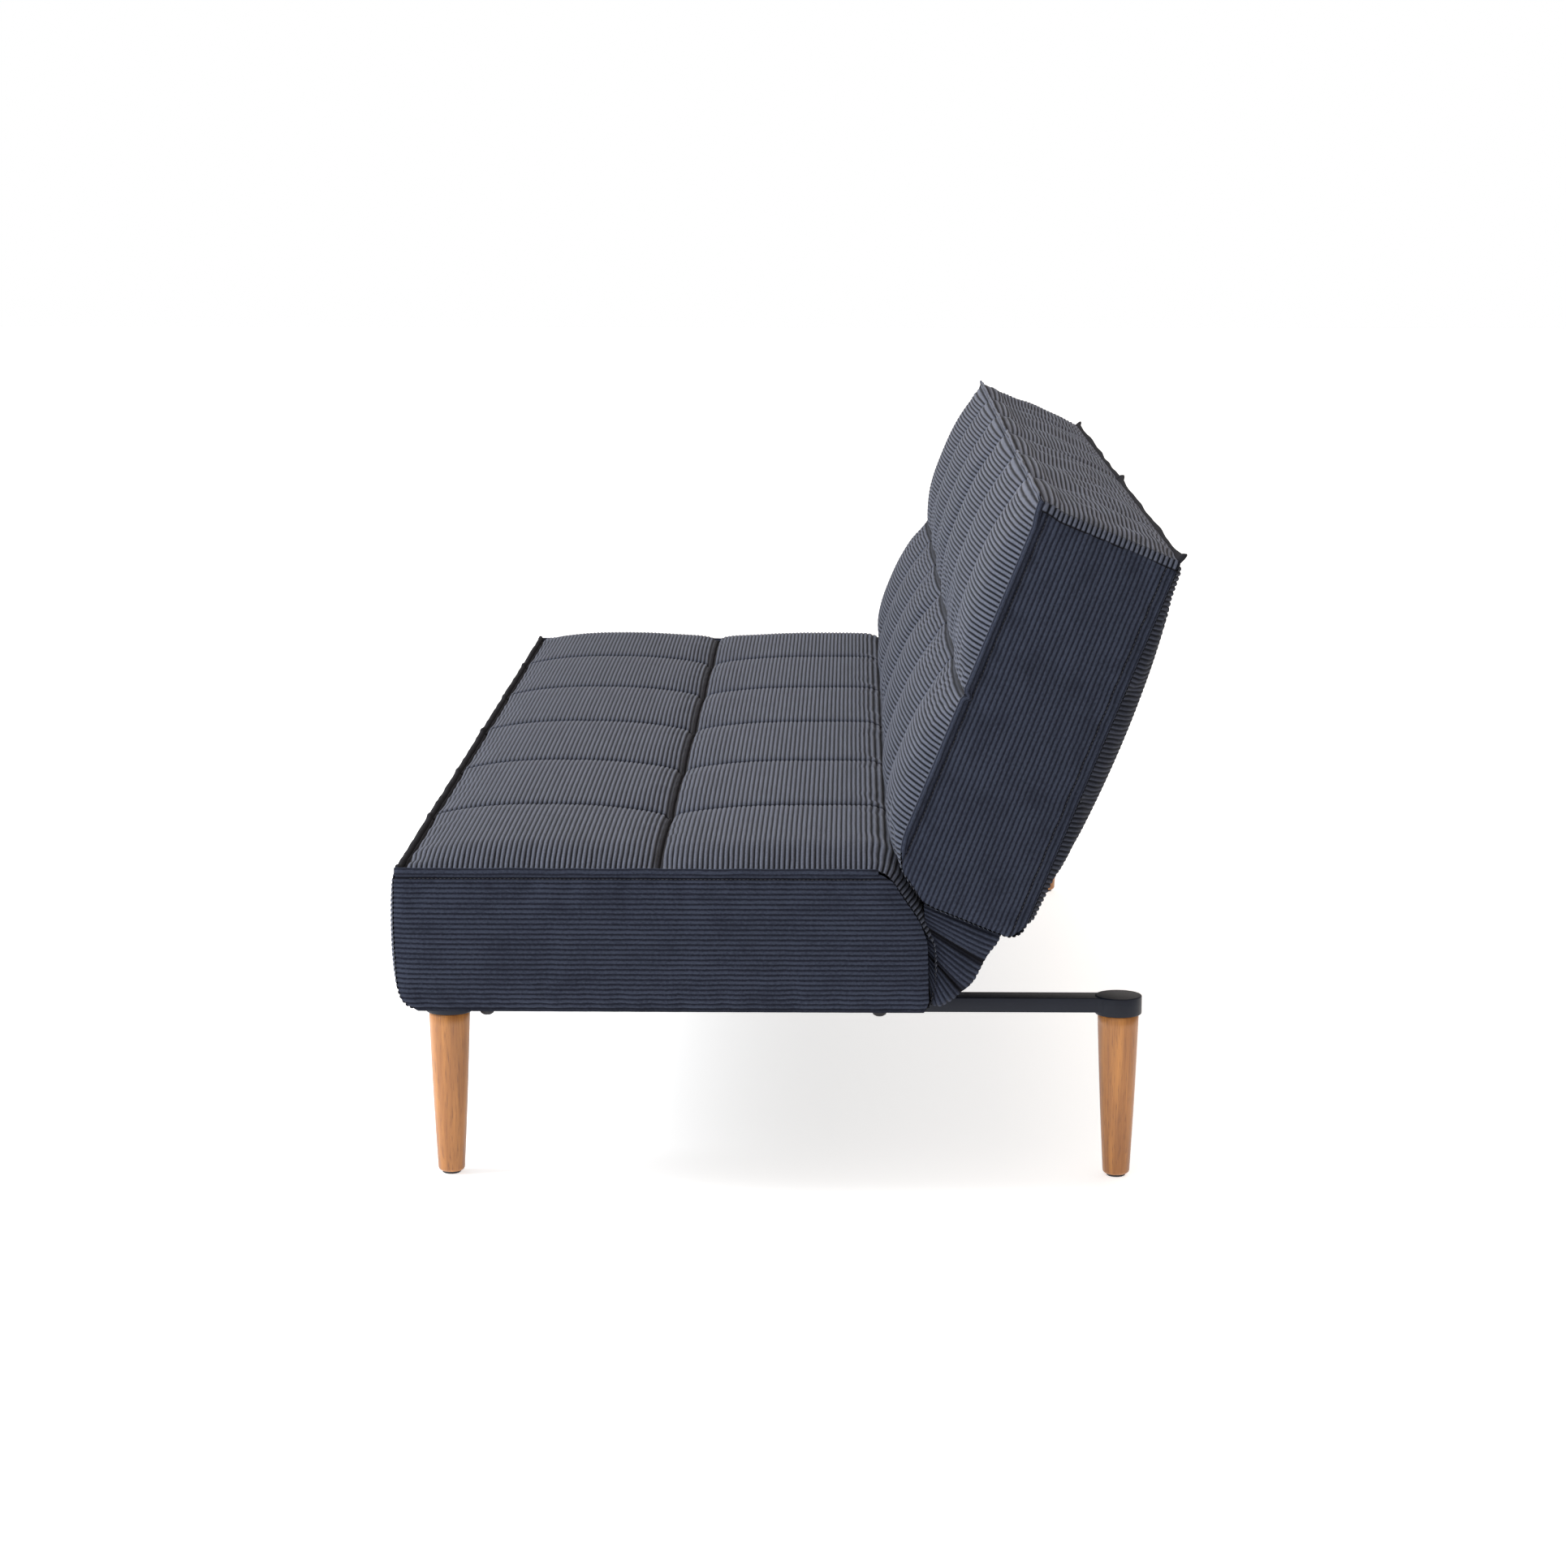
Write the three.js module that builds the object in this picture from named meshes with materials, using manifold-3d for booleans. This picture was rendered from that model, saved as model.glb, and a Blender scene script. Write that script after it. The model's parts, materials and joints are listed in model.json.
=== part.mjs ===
// Click-clack sofa bed: one upholstered seat on two steel base rails with four turned wooden legs,
// and a back that is split into a left and a right half. Each half turns on two ratchet hinges,
// from sitting upright down to lying level with the seat.
//
// Millimetres. +X is the sitter's left, -Y the front, +Z up. The origin is on the floor, under the
// middle of the sofa's bounding box.

import * as THREE from "three";
import { mergeVertices } from "three/addons/utils/BufferGeometryUtils.js";
import Module from "manifold-3d";

const wasm = await Module();
wasm.setup();

// ---- Driving dimensions --------------------------------------------------------------------

const WIDTH = 2100;
const GAP = 0.3; // left between pieces that touch

const SEAT_FRONT = -458;
const SEAT_REAR = 172;
const SEAT_TOP = 405;
const SEAT_BOTTOM = 233;
const COVER_WALL = 18; // quilted cover: cloth with its wadding

const BACK_TILT = 22; // degrees from upright, in the sitting position
const PIVOT_Y = 176;
const PIVOT_Z = 330;
// The back, measured from the pivot: N is rearward across its thickness, S is up along it.
const BACK_FRONT_N = -75;
const BACK_REAR_N = 97;
const BACK_BOTTOM_S = 31;
const BACK_TOP_S = 515;
const SPLIT = 4; // between the two back halves

const TUBE = 25; // square steel tube of the seat and back frames
const TUBE_WALL = 1.5;
const SEAT_FRAME_BOTTOM = 240;

const RAIL_X = 903; // legs and base rails, from the middle of the sofa
const LEG_FRONT_Y = -409;
const LEG_REAR_Y = 405;
const RAIL_WIDTH = 34;
const RAIL_BOTTOM = 207;
const RAIL_TOP = 225;
const BOSS_RADIUS = 28.5;
const BOSS_BOTTOM = 203;
const BOSS_TOP = 226;
const NECK_FILLET = 12;

const LEG_TOP_RADIUS = 25;
const LEG_FOOT_RADIUS = 16.5;
const LEG_FOOT = 3; // height of the wood above the floor, on its glide
const BOLT_RADIUS = 4;
const BOLT_HOLE = 4.5;
const RAIL_BOLTS_Y = [-363, 115];

const SPRING_WIRE = 1.9;
const SPRING_SWING = 24;
const SPRINGS_PER_HALF = 3;

const HUB_RADIUS = 22;
const HINGE_PLATE = 4;
const HINGE_OUTER_X = 1000;
const HINGE_INNER_X = 40;
const HINGE_REACH = 46; // from a hinge's x to the far end of its tabs, with room to spare
const HINGE_ROOM_TOP = 362;
const RIVET_HOLE = 6.3;
const POSITIONS = [0, 30, 68]; // degrees back from sitting: sitting, lounging, lying

// ---- Materials -----------------------------------------------------------------------------

const material = (color, roughness, metalness = 0) =>
  new THREE.MeshStandardMaterial({ color, roughness, metalness });
const corduroy = material(0x4f5563, 0.95);
const foam = material(0xe6dcc2, 0.9);
const felt = material(0x1c1c1f, 0.95);
const blackSteel = material(0x2f333e, 0.55, 0.3);
const bareSteel = material(0x8d9096, 0.4, 0.9);
const beech = material(0xb57e50, 0.5);
const nylon = material(0x202022, 0.6);

// ---- Helpers -------------------------------------------------------------------------------

const sofa = new THREE.Group();

function addPiece(name, geometry, look, parent = sofa) {
  const mesh = new THREE.Mesh(geometry, look);
  mesh.name = name;
  parent.add(mesh);
  return mesh;
}

function solid(geometry) {
  const bare = geometry.index ? geometry.toNonIndexed() : geometry.clone();
  bare.deleteAttribute("normal");
  bare.deleteAttribute("uv");
  const merged = mergeVertices(bare, 1e-3);
  return new wasm.Manifold(
    new wasm.Mesh({
      numProp: 3,
      vertProperties: merged.attributes.position.array,
      triVerts: new Uint32Array(merged.index.array),
    }),
  );
}

function geometryOf(made) {
  const mesh = made.getMesh();
  const geometry = new THREE.BufferGeometry();
  const vertices = new Float32Array(mesh.vertProperties);
  geometry.setAttribute("position", new THREE.BufferAttribute(vertices, 3));
  geometry.setIndex(new THREE.BufferAttribute(new Uint32Array(mesh.triVerts), 1));
  geometry.computeVertexNormals();
  return geometry;
}

const joined = (...parts) => parts.map(solid).reduce((sum, next) => sum.add(next));

function cut(body, ...tools) {
  const start = body instanceof THREE.BufferGeometry ? solid(body) : body;
  return geometryOf(tools.map(solid).reduce((left, tool) => left.subtract(tool), start));
}

function box(x0, x1, y0, y1, z0, z1) {
  const shape = new THREE.BoxGeometry(x1 - x0, y1 - y0, z1 - z0);
  return shape.translate((x0 + x1) / 2, (y0 + y1) / 2, (z0 + z1) / 2);
}

function rod(radius, x, y, z0, z1, sides = 16) {
  const shape = new THREE.CylinderGeometry(radius, radius, z1 - z0, sides);
  return shape.rotateX(Math.PI / 2).translate(x, y, (z0 + z1) / 2);
}

// A welded frame of hollow square tubes, each given as [x0, x1, y0, y1, z0, z1]. The holes go in
// from outside, and the hollows of tubes that meet run into each other.
function tubeFrame(tubes, holes) {
  const w = TUBE_WALL;
  const hollows = tubes.map(([x0, x1, y0, y1, z0, z1]) =>
    box(x0 + w, x1 - w, y0 + w, y1 - w, z0 + w, z1 - w),
  );
  return cut(joined(...tubes.map((tube) => box(...tube))), ...hollows, ...holes);
}

// A pin or disc that lies along X.
function crossRod(radius, x0, x1, y, z, sides = 24) {
  const shape = new THREE.CylinderGeometry(radius, radius, x1 - x0, sides);
  return shape.rotateZ(Math.PI / 2).translate((x0 + x1) / 2, y, z);
}

// An outline in the YZ plane whose corners are [y, z, radius], run along X from x0 to x1.
function sideProfile(corners, x0, x1, curveSegments = 5) {
  const shape = new THREE.Shape();
  corners.forEach(([y, z, radius = 0], i) => {
    const here = new THREE.Vector2(y, z);
    const before = corners.at(i - 1);
    const after = corners[(i + 1) % corners.length];
    const towards = ([oy, oz]) =>
      new THREE.Vector2(oy, oz).sub(here).normalize().multiplyScalar(radius).add(here);
    const start = radius ? towards(before) : here;
    if (i === 0) shape.moveTo(start.x, start.y);
    else shape.lineTo(start.x, start.y);
    if (radius) {
      const end = towards(after);
      shape.quadraticCurveTo(y, z, end.x, end.y);
    }
  });
  const depth = x1 - x0;
  const run = new THREE.ExtrudeGeometry(shape, { depth, bevelEnabled: false, curveSegments });
  const drawingToSide = new THREE.Matrix4().makeBasis(
    new THREE.Vector3(0, 1, 0),
    new THREE.Vector3(0, 0, 1),
    new THREE.Vector3(1, 0, 0),
  );
  return run.applyMatrix4(drawingToSide).translate(x0, 0, 0);
}

// ---- Base rails, legs, glides and their bolts ----------------------------------------------

// A flat steel bar that flares into a round boss at each end, where a leg screws in.
function baseRail() {
  const half = RAIL_WIDTH / 2;
  const reach = Math.sqrt((BOSS_RADIUS + NECK_FILLET) ** 2 - (half + NECK_FILLET) ** 2);
  const turn = Math.atan2(reach, half + NECK_FILLET);
  const front = LEG_FRONT_Y;
  const rear = LEG_REAR_Y;
  const bar = new THREE.Shape();
  bar.moveTo(half, front + reach);
  bar.lineTo(half, rear - reach);
  bar.absarc(half + NECK_FILLET, rear - reach, NECK_FILLET, Math.PI, Math.PI - turn, true);
  bar.absarc(0, rear, BOSS_RADIUS - 1, -turn, Math.PI + turn, false);
  bar.absarc(-half - NECK_FILLET, rear - reach, NECK_FILLET, turn, 0, true);
  bar.lineTo(-half, front + reach);
  bar.absarc(-half - NECK_FILLET, front + reach, NECK_FILLET, 0, -turn, true);
  bar.absarc(0, front, BOSS_RADIUS - 1, Math.PI - turn, 2 * Math.PI + turn, false);
  bar.absarc(half + NECK_FILLET, front + reach, NECK_FILLET, Math.PI + turn, Math.PI, true);
  const depth = RAIL_TOP - RAIL_BOTTOM;
  const flat = new THREE.ExtrudeGeometry(bar, { depth, bevelEnabled: false, curveSegments: 6 });
  flat.translate(0, 0, RAIL_BOTTOM);
  const bosses = [front, rear].map((y) => rod(BOSS_RADIUS, 0, y, BOSS_BOTTOM, BOSS_TOP, 28));
  const legHoles = [front, rear].map((y) =>
    rod(BOLT_HOLE, 0, y, BOSS_BOTTOM - 1, BOSS_TOP - 3, 12),
  );
  const boltHoles = RAIL_BOLTS_Y.map((y) =>
    rod(BOLT_HOLE, 0, y, RAIL_BOTTOM - 1, RAIL_TOP + 1, 12),
  );
  return cut(joined(flat, ...bosses), ...legHoles, ...boltHoles);
}

// A turned, tapered leg with a rounded foot, bored at the top for its bolt and below for its glide.
function leg() {
  const top = BOSS_BOTTOM - GAP;
  const round = 5;
  const outline = [
    new THREE.Vector2(0, 16),
    new THREE.Vector2(2.4, 16),
    new THREE.Vector2(2.4, LEG_FOOT),
    new THREE.Vector2(LEG_FOOT_RADIUS - round, LEG_FOOT),
  ];
  for (const angle of [30, 60, 90]) {
    const a = THREE.MathUtils.degToRad(angle);
    const r = LEG_FOOT_RADIUS - round * (1 - Math.sin(a));
    outline.push(new THREE.Vector2(r, LEG_FOOT + round * (1 - Math.cos(a))));
  }
  outline.push(new THREE.Vector2(LEG_TOP_RADIUS, top));
  outline.push(new THREE.Vector2(BOLT_HOLE, top));
  outline.push(new THREE.Vector2(BOLT_HOLE, 148));
  outline.push(new THREE.Vector2(0, 148));
  return new THREE.LatheGeometry(outline, 24).rotateX(Math.PI / 2);
}

// A nail-in glide: a low disc with a short shank.
function glide() {
  const top = LEG_FOOT - GAP;
  const outline = [[0, 0], [10, 0], [11.5, 1], [11.5, top], [2, top], [2, 14], [0, 14]];
  const points = outline.map(([r, z]) => new THREE.Vector2(r, z));
  return new THREE.LatheGeometry(points, 14).rotateX(Math.PI / 2);
}

// A button-head bolt from below, through the rail and its spacer into the seat frame.
function railBolt() {
  const seat = RAIL_BOTTOM - GAP;
  const outline = [[0, seat - 5], [5, seat - 5], [8, seat - 2.5], [8.5, seat], [BOLT_RADIUS, seat]];
  outline.push([BOLT_RADIUS, SEAT_FRAME_BOTTOM + 12], [0, SEAT_FRAME_BOTTOM + 12]);
  const points = outline.map(([r, z]) => new THREE.Vector2(r, z));
  return new THREE.LatheGeometry(points, 12).rotateX(Math.PI / 2);
}

function spacer() {
  const outer = rod(12, 0, 0, RAIL_TOP + GAP, SEAT_FRAME_BOTTOM - GAP, 20);
  return cut(outer, rod(BOLT_HOLE, 0, 0, RAIL_TOP, SEAT_FRAME_BOTTOM, 12));
}

function base() {
  for (const [side, x] of [["left", RAIL_X], ["right", -RAIL_X]]) {
    addPiece(`base_rail_${side}`, baseRail(), blackSteel).position.x = x;
    for (const [end, y] of [["front", LEG_FRONT_Y], ["rear", LEG_REAR_Y]]) {
      addPiece(`leg_${end}_${side}`, leg(), beech).position.set(x, y, 0);
      addPiece(`leg_glide_${end}_${side}`, glide(), nylon).position.set(x, y, 0);
      const stud = rod(BOLT_RADIUS, x, y, 150, BOSS_TOP - 4, 12);
      addPiece(`leg_stud_${end}_${side}`, stud, bareSteel);
    }
    RAIL_BOLTS_Y.forEach((y, i) => {
      const end = ["front", "rear"][i];
      addPiece(`rail_bolt_${end}_${side}`, railBolt(), bareSteel).position.set(x, y, 0);
      addPiece(`rail_spacer_${end}_${side}`, spacer(), nylon).position.set(x, y, 0);
    });
  }
}

// ---- Sinuous springs -----------------------------------------------------------------------

// A wire that swings from side to side between two heights y0 and y1, arched by rise in the middle.
function sinuousSpring(x, y0, y1, z, rise) {
  const turns = 11;
  const points = [new THREE.Vector3(x, y0, z)];
  for (let i = 0; i < turns; i++) {
    const t = (i + 0.5) / turns;
    const swing = i % 2 ? SPRING_SWING : -SPRING_SWING;
    const height = z + rise * Math.sin(Math.PI * t);
    points.push(new THREE.Vector3(x + swing, y0 + (y1 - y0) * t, height));
  }
  points.push(new THREE.Vector3(x, y1, z));
  const wire = new THREE.Shape();
  wire.absarc(0, 0, SPRING_WIRE, 0, 2 * Math.PI);
  const extrudePath = new THREE.CatmullRomCurve3(points, false, "centripetal");
  return new THREE.ExtrudeGeometry(wire, { extrudePath, steps: 36, curveSegments: 3 });
}

// ---- Seat ----------------------------------------------------------------------------------

const END_X = WIDTH / 2;
const INSIDE_X = END_X - COVER_WALL;
const FRAME_FRONT = SEAT_FRONT + 30;
const FRAME_REAR = SEAT_REAR - 14;
const FRAME_TOP = SEAT_FRAME_BOTTOM + TUBE;
const FRAME_X = INSIDE_X - 6;

// The seat seen from its end: a rounded nose in front, and a corner cut back where the back half
// leans over it.
const seatOutline = [
  [SEAT_FRONT + 2, SEAT_TOP, 12],
  [SEAT_FRONT, 320, 45],
  [SEAT_FRONT + 6, SEAT_BOTTOM, 34],
  [SEAT_REAR, SEAT_BOTTOM, 6],
  [SEAT_REAR - 2, 326, 8],
  [SEAT_REAR - 22, 352, 8],
  [SEAT_REAR - 62, SEAT_TOP, 14],
];

const HINGES_X = [-HINGE_OUTER_X, -HINGE_INNER_X, HINGE_INNER_X, HINGE_OUTER_X];
// Each hinge stands on the side of x that is nearer to the middle of its back half.
const inward = (x) => (Math.abs(x) > END_X / 2 ? -Math.sign(x) : Math.sign(x));

// The span along X that the hinge at x takes up, with a clearance on its near side.
const hingeSpan = (x, clearance) =>
  [x - inward(x) * clearance, x + inward(x) * HINGE_REACH].sort((a, b) => a - b);

// Room in the seat's rear edge for the hinge plates and their rivet.
function hingePockets() {
  return HINGES_X.map((x) => {
    const span = hingeSpan(x, 8);
    const low = SEAT_FRAME_BOTTOM - 4;
    return box(...span, FRAME_REAR - 12, SEAT_REAR + 20, low, HINGE_ROOM_TOP);
  });
}

function seatFrame() {
  const z0 = SEAT_FRAME_BOTTOM;
  const z1 = FRAME_TOP;
  const tubes = [
    [-FRAME_X, FRAME_X, FRAME_FRONT, FRAME_FRONT + TUBE, z0, z1],
    [-FRAME_X, FRAME_X, FRAME_REAR - TUBE, FRAME_REAR, z0, z1],
  ];
  for (const x of [-FRAME_X, -RAIL_X - TUBE / 2, -TUBE / 2, RAIL_X - TUBE / 2, FRAME_X - TUBE]) {
    tubes.push([x, x + TUBE, FRAME_FRONT + 2, FRAME_REAR - 2, z0, z1]);
  }
  const bolts = [-RAIL_X, RAIL_X].flatMap((x) =>
    RAIL_BOLTS_Y.map((y) => rod(BOLT_HOLE, x, y, z0 - 1, z0 + 3, 12)),
  );
  return tubeFrame(tubes, bolts);
}

function seatCover() {
  const shell = sideProfile(seatOutline, -END_X, END_X);
  const y0 = SEAT_FRONT + COVER_WALL;
  const y1 = SEAT_REAR - 10;
  const top = SEAT_TOP - COVER_WALL;
  const hollow = [
    [y0, top, 10],
    [y0, SEAT_BOTTOM - 5],
    [y1, SEAT_BOTTOM - 5],
    [y1, 330, 6],
    [SEAT_REAR - 76, top, 10],
  ];
  return cut(shell, sideProfile(hollow, -INSIDE_X, INSIDE_X), ...hingePockets());
}

function seatFoam() {
  const y0 = SEAT_FRONT + COVER_WALL + GAP;
  const y1 = SEAT_REAR - 10 - GAP;
  const bottom = FRAME_TOP + 20;
  const top = SEAT_TOP - COVER_WALL - GAP;
  const block = [
    [y0, top, 10],
    [y0, bottom],
    [y1, bottom],
    [y1, 329, 6],
    [SEAT_REAR - 77, top, 10],
  ];
  return cut(sideProfile(block, -INSIDE_X + GAP, INSIDE_X - GAP), ...hingePockets());
}

// The black cloth stapled under the frame, with a hole for each spacer.
function seatDustCover() {
  const z0 = SEAT_BOTTOM + 2;
  const x = INSIDE_X - 1;
  const cloth = box(-x, x, SEAT_FRONT + COVER_WALL + 1, FRAME_REAR - 14, z0, z0 + 1.5);
  const holes = [-RAIL_X, RAIL_X].flatMap((at) =>
    RAIL_BOLTS_Y.map((y) => rod(13, at, y, z0 - 1, z0 + 3, 16)),
  );
  return cut(cloth, ...holes);
}

function seat() {
  addPiece("seat_frame", seatFrame(), blackSteel);
  addPiece("seat_cover", seatCover(), corduroy);
  addPiece("seat_foam", seatFoam(), foam);
  addPiece("seat_dust_cover", seatDustCover(), felt);
  const channels = 2 * SPRINGS_PER_HALF;
  for (let i = 0; i < channels; i++) {
    const x = ((i + 0.5) / channels - 0.5) * WIDTH;
    const z = FRAME_TOP + GAP + SPRING_WIRE;
    const wire = sinuousSpring(x, FRAME_FRONT + 6, FRAME_REAR - 6, z, 12);
    addPiece(`seat_spring_${i + 1}`, wire, bareSteel);
  }
}

// ---- Back halves ---------------------------------------------------------------------------
// Each is built in a group at the pivot that is tilted with the back: its Y is N and its Z is S.

const BACK_FRAME_N = BACK_REAR_N - 42;
const BACK_FRAME_S = BACK_BOTTOM_S + 16;
const BACK_FRAME_TOP = BACK_TOP_S - 30;

const backOutline = [
  [BACK_FRONT_N, BACK_TOP_S, 8],
  [BACK_FRONT_N, BACK_BOTTOM_S + 56, 20],
  [BACK_FRONT_N + 12, BACK_BOTTOM_S + 28, 8],
  [BACK_FRONT_N + 52, BACK_BOTTOM_S, 8],
  [BACK_REAR_N, BACK_BOTTOM_S, 10],
  [BACK_REAR_N, BACK_TOP_S - 2, 5],
];

// The slot up through the underside of a back half for its hinge arms.
function armSlots(inner, outer) {
  return [inner, outer].map((x) => {
    const span = hingeSpan(x, 8);
    return box(...span, -24, BACK_REAR_N - 14, BACK_BOTTOM_S - 2, BACK_FRAME_S + 46);
  });
}

function backFrame(x0, x1) {
  const n0 = BACK_FRAME_N;
  const n1 = n0 + TUBE;
  const tubes = [
    [x0, x1, n0, n1, BACK_FRAME_S, BACK_FRAME_S + TUBE],
    [x0, x1, n0, n1, BACK_FRAME_TOP - TUBE, BACK_FRAME_TOP],
  ];
  const middle = (x0 + x1 - TUBE) / 2;
  for (const x of [x0, middle, x1 - TUBE]) {
    tubes.push([x, x + TUBE, n0, n1, BACK_FRAME_S + 2, BACK_FRAME_TOP - 2]);
  }
  const drain = rod(3, middle, (n0 + n1) / 2, BACK_FRAME_S - 1, BACK_FRAME_S + 3, 8);
  return tubeFrame(tubes, [drain]);
}

// The cover of a half. Its underside is slit for the hinge arms.
function backCover(x0, x1, slots) {
  const shell = sideProfile(backOutline, x0, x1);
  const wall = COVER_WALL;
  const hollow = [
    [BACK_FRONT_N + wall, BACK_TOP_S - wall, 8],
    [BACK_FRONT_N + wall, BACK_BOTTOM_S + 56, 20],
    [BACK_FRONT_N + wall + 14, BACK_BOTTOM_S + 8],
    [BACK_REAR_N - 10, BACK_BOTTOM_S + 8],
    [BACK_REAR_N - 10, BACK_TOP_S - wall, 8],
  ];
  const inside = sideProfile(hollow, x0 + wall, x1 - wall);
  return cut(shell, inside, ...slots);
}

function backFoam(x0, x1, slots) {
  const wall = COVER_WALL + GAP;
  const rear = BACK_FRAME_N - 20;
  const block = [
    [BACK_FRONT_N + wall, BACK_TOP_S - wall, 8],
    [BACK_FRONT_N + wall, BACK_BOTTOM_S + 56, 20],
    [BACK_FRONT_N + wall + 14, BACK_BOTTOM_S + 8 + GAP],
    [rear, BACK_BOTTOM_S + 8 + GAP],
    [rear, BACK_TOP_S - wall],
  ];
  return cut(sideProfile(block, x0 + wall, x1 - wall), ...slots);
}

// ---- Hinges --------------------------------------------------------------------------------

// The plate welded to the seat frame's rear tube. It carries the rivet.
function seatArm() {
  const plate = [0, HINGE_PLATE];
  const hub = crossRod(HUB_RADIUS, ...plate, PIVOT_Y, PIVOT_Z);
  const foot = FRAME_REAR + GAP;
  const web = [
    [foot, SEAT_FRAME_BOTTOM + 1],
    [foot + 10, SEAT_FRAME_BOTTOM + 1],
    [PIVOT_Y + HUB_RADIUS - 4, PIVOT_Z - 10],
    [PIVOT_Y - HUB_RADIUS + 4, PIVOT_Z - 10],
  ];
  const tab = box(0, 40, foot, foot + HINGE_PLATE, SEAT_FRAME_BOTTOM + 1, FRAME_TOP);
  const body = joined(hub, sideProfile(web, ...plate), tab);
  return cut(body, crossRod(RIVET_HOLE, -1, HINGE_PLATE + 1, PIVOT_Y, PIVOT_Z));
}

// The arm fixed to the back frame. Its hub has a notch for each of the three positions.
function backArm() {
  const plate = [HINGE_PLATE + 1, 2 * HINGE_PLATE + 1];
  const hub = crossRod(HUB_RADIUS, ...plate, 0, 0);
  const foot = BACK_FRAME_S - GAP;
  const web = [
    [-8, HUB_RADIUS - 6],
    [-8, -HUB_RADIUS + 4],
    [BACK_FRAME_N + TUBE, foot - 18],
    [BACK_FRAME_N + TUBE, foot],
    [BACK_FRAME_N - 4, foot],
  ];
  const tab = box(plate[0], 40, BACK_FRAME_N, BACK_FRAME_N + TUBE, foot - HINGE_PLATE, foot);
  const body = joined(hub, sideProfile(web, ...plate), tab);
  const notches = POSITIONS.map((turn) => {
    const a = THREE.MathUtils.degToRad(200 - turn);
    const tooth = new THREE.BoxGeometry(HINGE_PLATE + 2, 8, 4);
    const middle = (plate[0] + plate[1]) / 2;
    return tooth.rotateX(a).translate(middle, HUB_RADIUS * Math.cos(a), HUB_RADIUS * Math.sin(a));
  });
  return cut(body, crossRod(RIVET_HOLE, plate[0] - 1, plate[1] + 1, 0, 0), ...notches);
}

function rivet() {
  const end = 2 * HINGE_PLATE + 1 + GAP;
  const outline = [[0, -3], [8, -3], [10, -1], [10, -GAP], [6, -GAP], [6, end]];
  outline.push([10, end], [10, end + 1], [8, end + 3], [0, end + 3]);
  const points = outline.map(([r, x]) => new THREE.Vector2(r, x));
  return new THREE.LatheGeometry(points, 14).rotateZ(-Math.PI / 2);
}

// A hinge is drawn with its plates running towards +X, and turned round where they run the other way.
function mirroredX(geometry) {
  const flipped = geometry.index ? geometry.toNonIndexed() : geometry.clone();
  flipped.scale(-1, 1, 1);
  const corners = flipped.attributes.position;
  for (let i = 0; i < corners.count; i += 3) {
    const a = new THREE.Vector3().fromBufferAttribute(corners, i);
    const b = new THREE.Vector3().fromBufferAttribute(corners, i + 1);
    corners.setXYZ(i, b.x, b.y, b.z);
    corners.setXYZ(i + 1, a.x, a.y, a.z);
  }
  return flipped;
}

function hinge(name, x, back) {
  const facing = (geometry) => (inward(x) > 0 ? geometry : mirroredX(geometry));
  addPiece(`hinge_seat_arm_${name}`, facing(seatArm()), blackSteel).position.x = x;
  const pin = addPiece(`hinge_rivet_${name}`, facing(rivet()), bareSteel);
  pin.position.set(x, PIVOT_Y, PIVOT_Z);
  addPiece(`hinge_back_arm_${name}`, facing(backArm()), blackSteel, back).position.x = x;
}

// ---- Gussets -------------------------------------------------------------------------------

// A band of slack cloth that hangs between the underside of a back half and the seat's rear edge.
function gusset(x0, x1) {
  const line = new THREE.CatmullRomCurve3(
    [[262, 314], [247, 298], [229, 271], [210, 254], [192, 249], [181, 256], [177, 280]].map(
      ([y, z]) => new THREE.Vector3(y, z, 0),
    ),
  );
  const steps = 16;
  const side = (sign) =>
    Array.from({ length: steps + 1 }, (_, i) => {
      const at = line.getPoint(i / steps);
      const along = line.getTangent(i / steps);
      return [at.x - sign * along.y * 1.5, at.y + sign * along.x * 1.5];
    });
  const notches = HINGES_X.map((x) => {
    const span = hingeSpan(x, 6);
    const rear = PIVOT_Y + HUB_RADIUS + 8;
    return box(...span, SEAT_REAR - 10, rear, SEAT_BOTTOM, HINGE_ROOM_TOP);
  });
  return cut(sideProfile([...side(1), ...side(-1).reverse()], x0, x1), ...notches);
}

function backHalf(side, sign) {
  const back = new THREE.Group();
  back.position.set(0, PIVOT_Y, PIVOT_Z);
  back.rotation.x = THREE.MathUtils.degToRad(-BACK_TILT);
  sofa.add(back);
  const across = (near, far) => [sign * near, sign * far].sort((a, b) => a - b);
  const [x0, x1] = across(SPLIT / 2, END_X);
  const inset = COVER_WALL + 4;
  const frame = [x0 + inset, x1 - inset];
  const slots = armSlots(sign * HINGE_INNER_X, sign * HINGE_OUTER_X);
  addPiece(`back_frame_${side}`, backFrame(...frame), blackSteel, back);
  addPiece(`back_cover_${side}`, backCover(x0, x1, slots), corduroy, back);
  addPiece(`back_foam_${side}`, backFoam(x0, x1, slots), foam, back);
  for (let i = 0; i < SPRINGS_PER_HALF; i++) {
    const x = x0 + ((i + 0.5) / SPRINGS_PER_HALF) * (x1 - x0);
    // Drawn flat, then stood up on the front of the frame.
    const wire = sinuousSpring(x, BACK_FRAME_S + 6, BACK_FRAME_TOP - 6, 0, 10);
    wire.rotateX(Math.PI / 2).translate(0, BACK_FRAME_N - GAP - SPRING_WIRE, 0);
    addPiece(`back_spring_${side}_${i + 1}`, wire, bareSteel, back);
  }
  hinge(`${side}_inner`, sign * HINGE_INNER_X, back);
  hinge(`${side}_outer`, sign * HINGE_OUTER_X, back);
  addPiece(`gusset_${side}`, gusset(...across(6, END_X - 6)), corduroy);
}

base();
seat();
backHalf("left", 1);
backHalf("right", -1);

export default sofa;
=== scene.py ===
import json
import math

import bmesh
import bpy
import numpy as np
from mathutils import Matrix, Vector, noise


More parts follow.
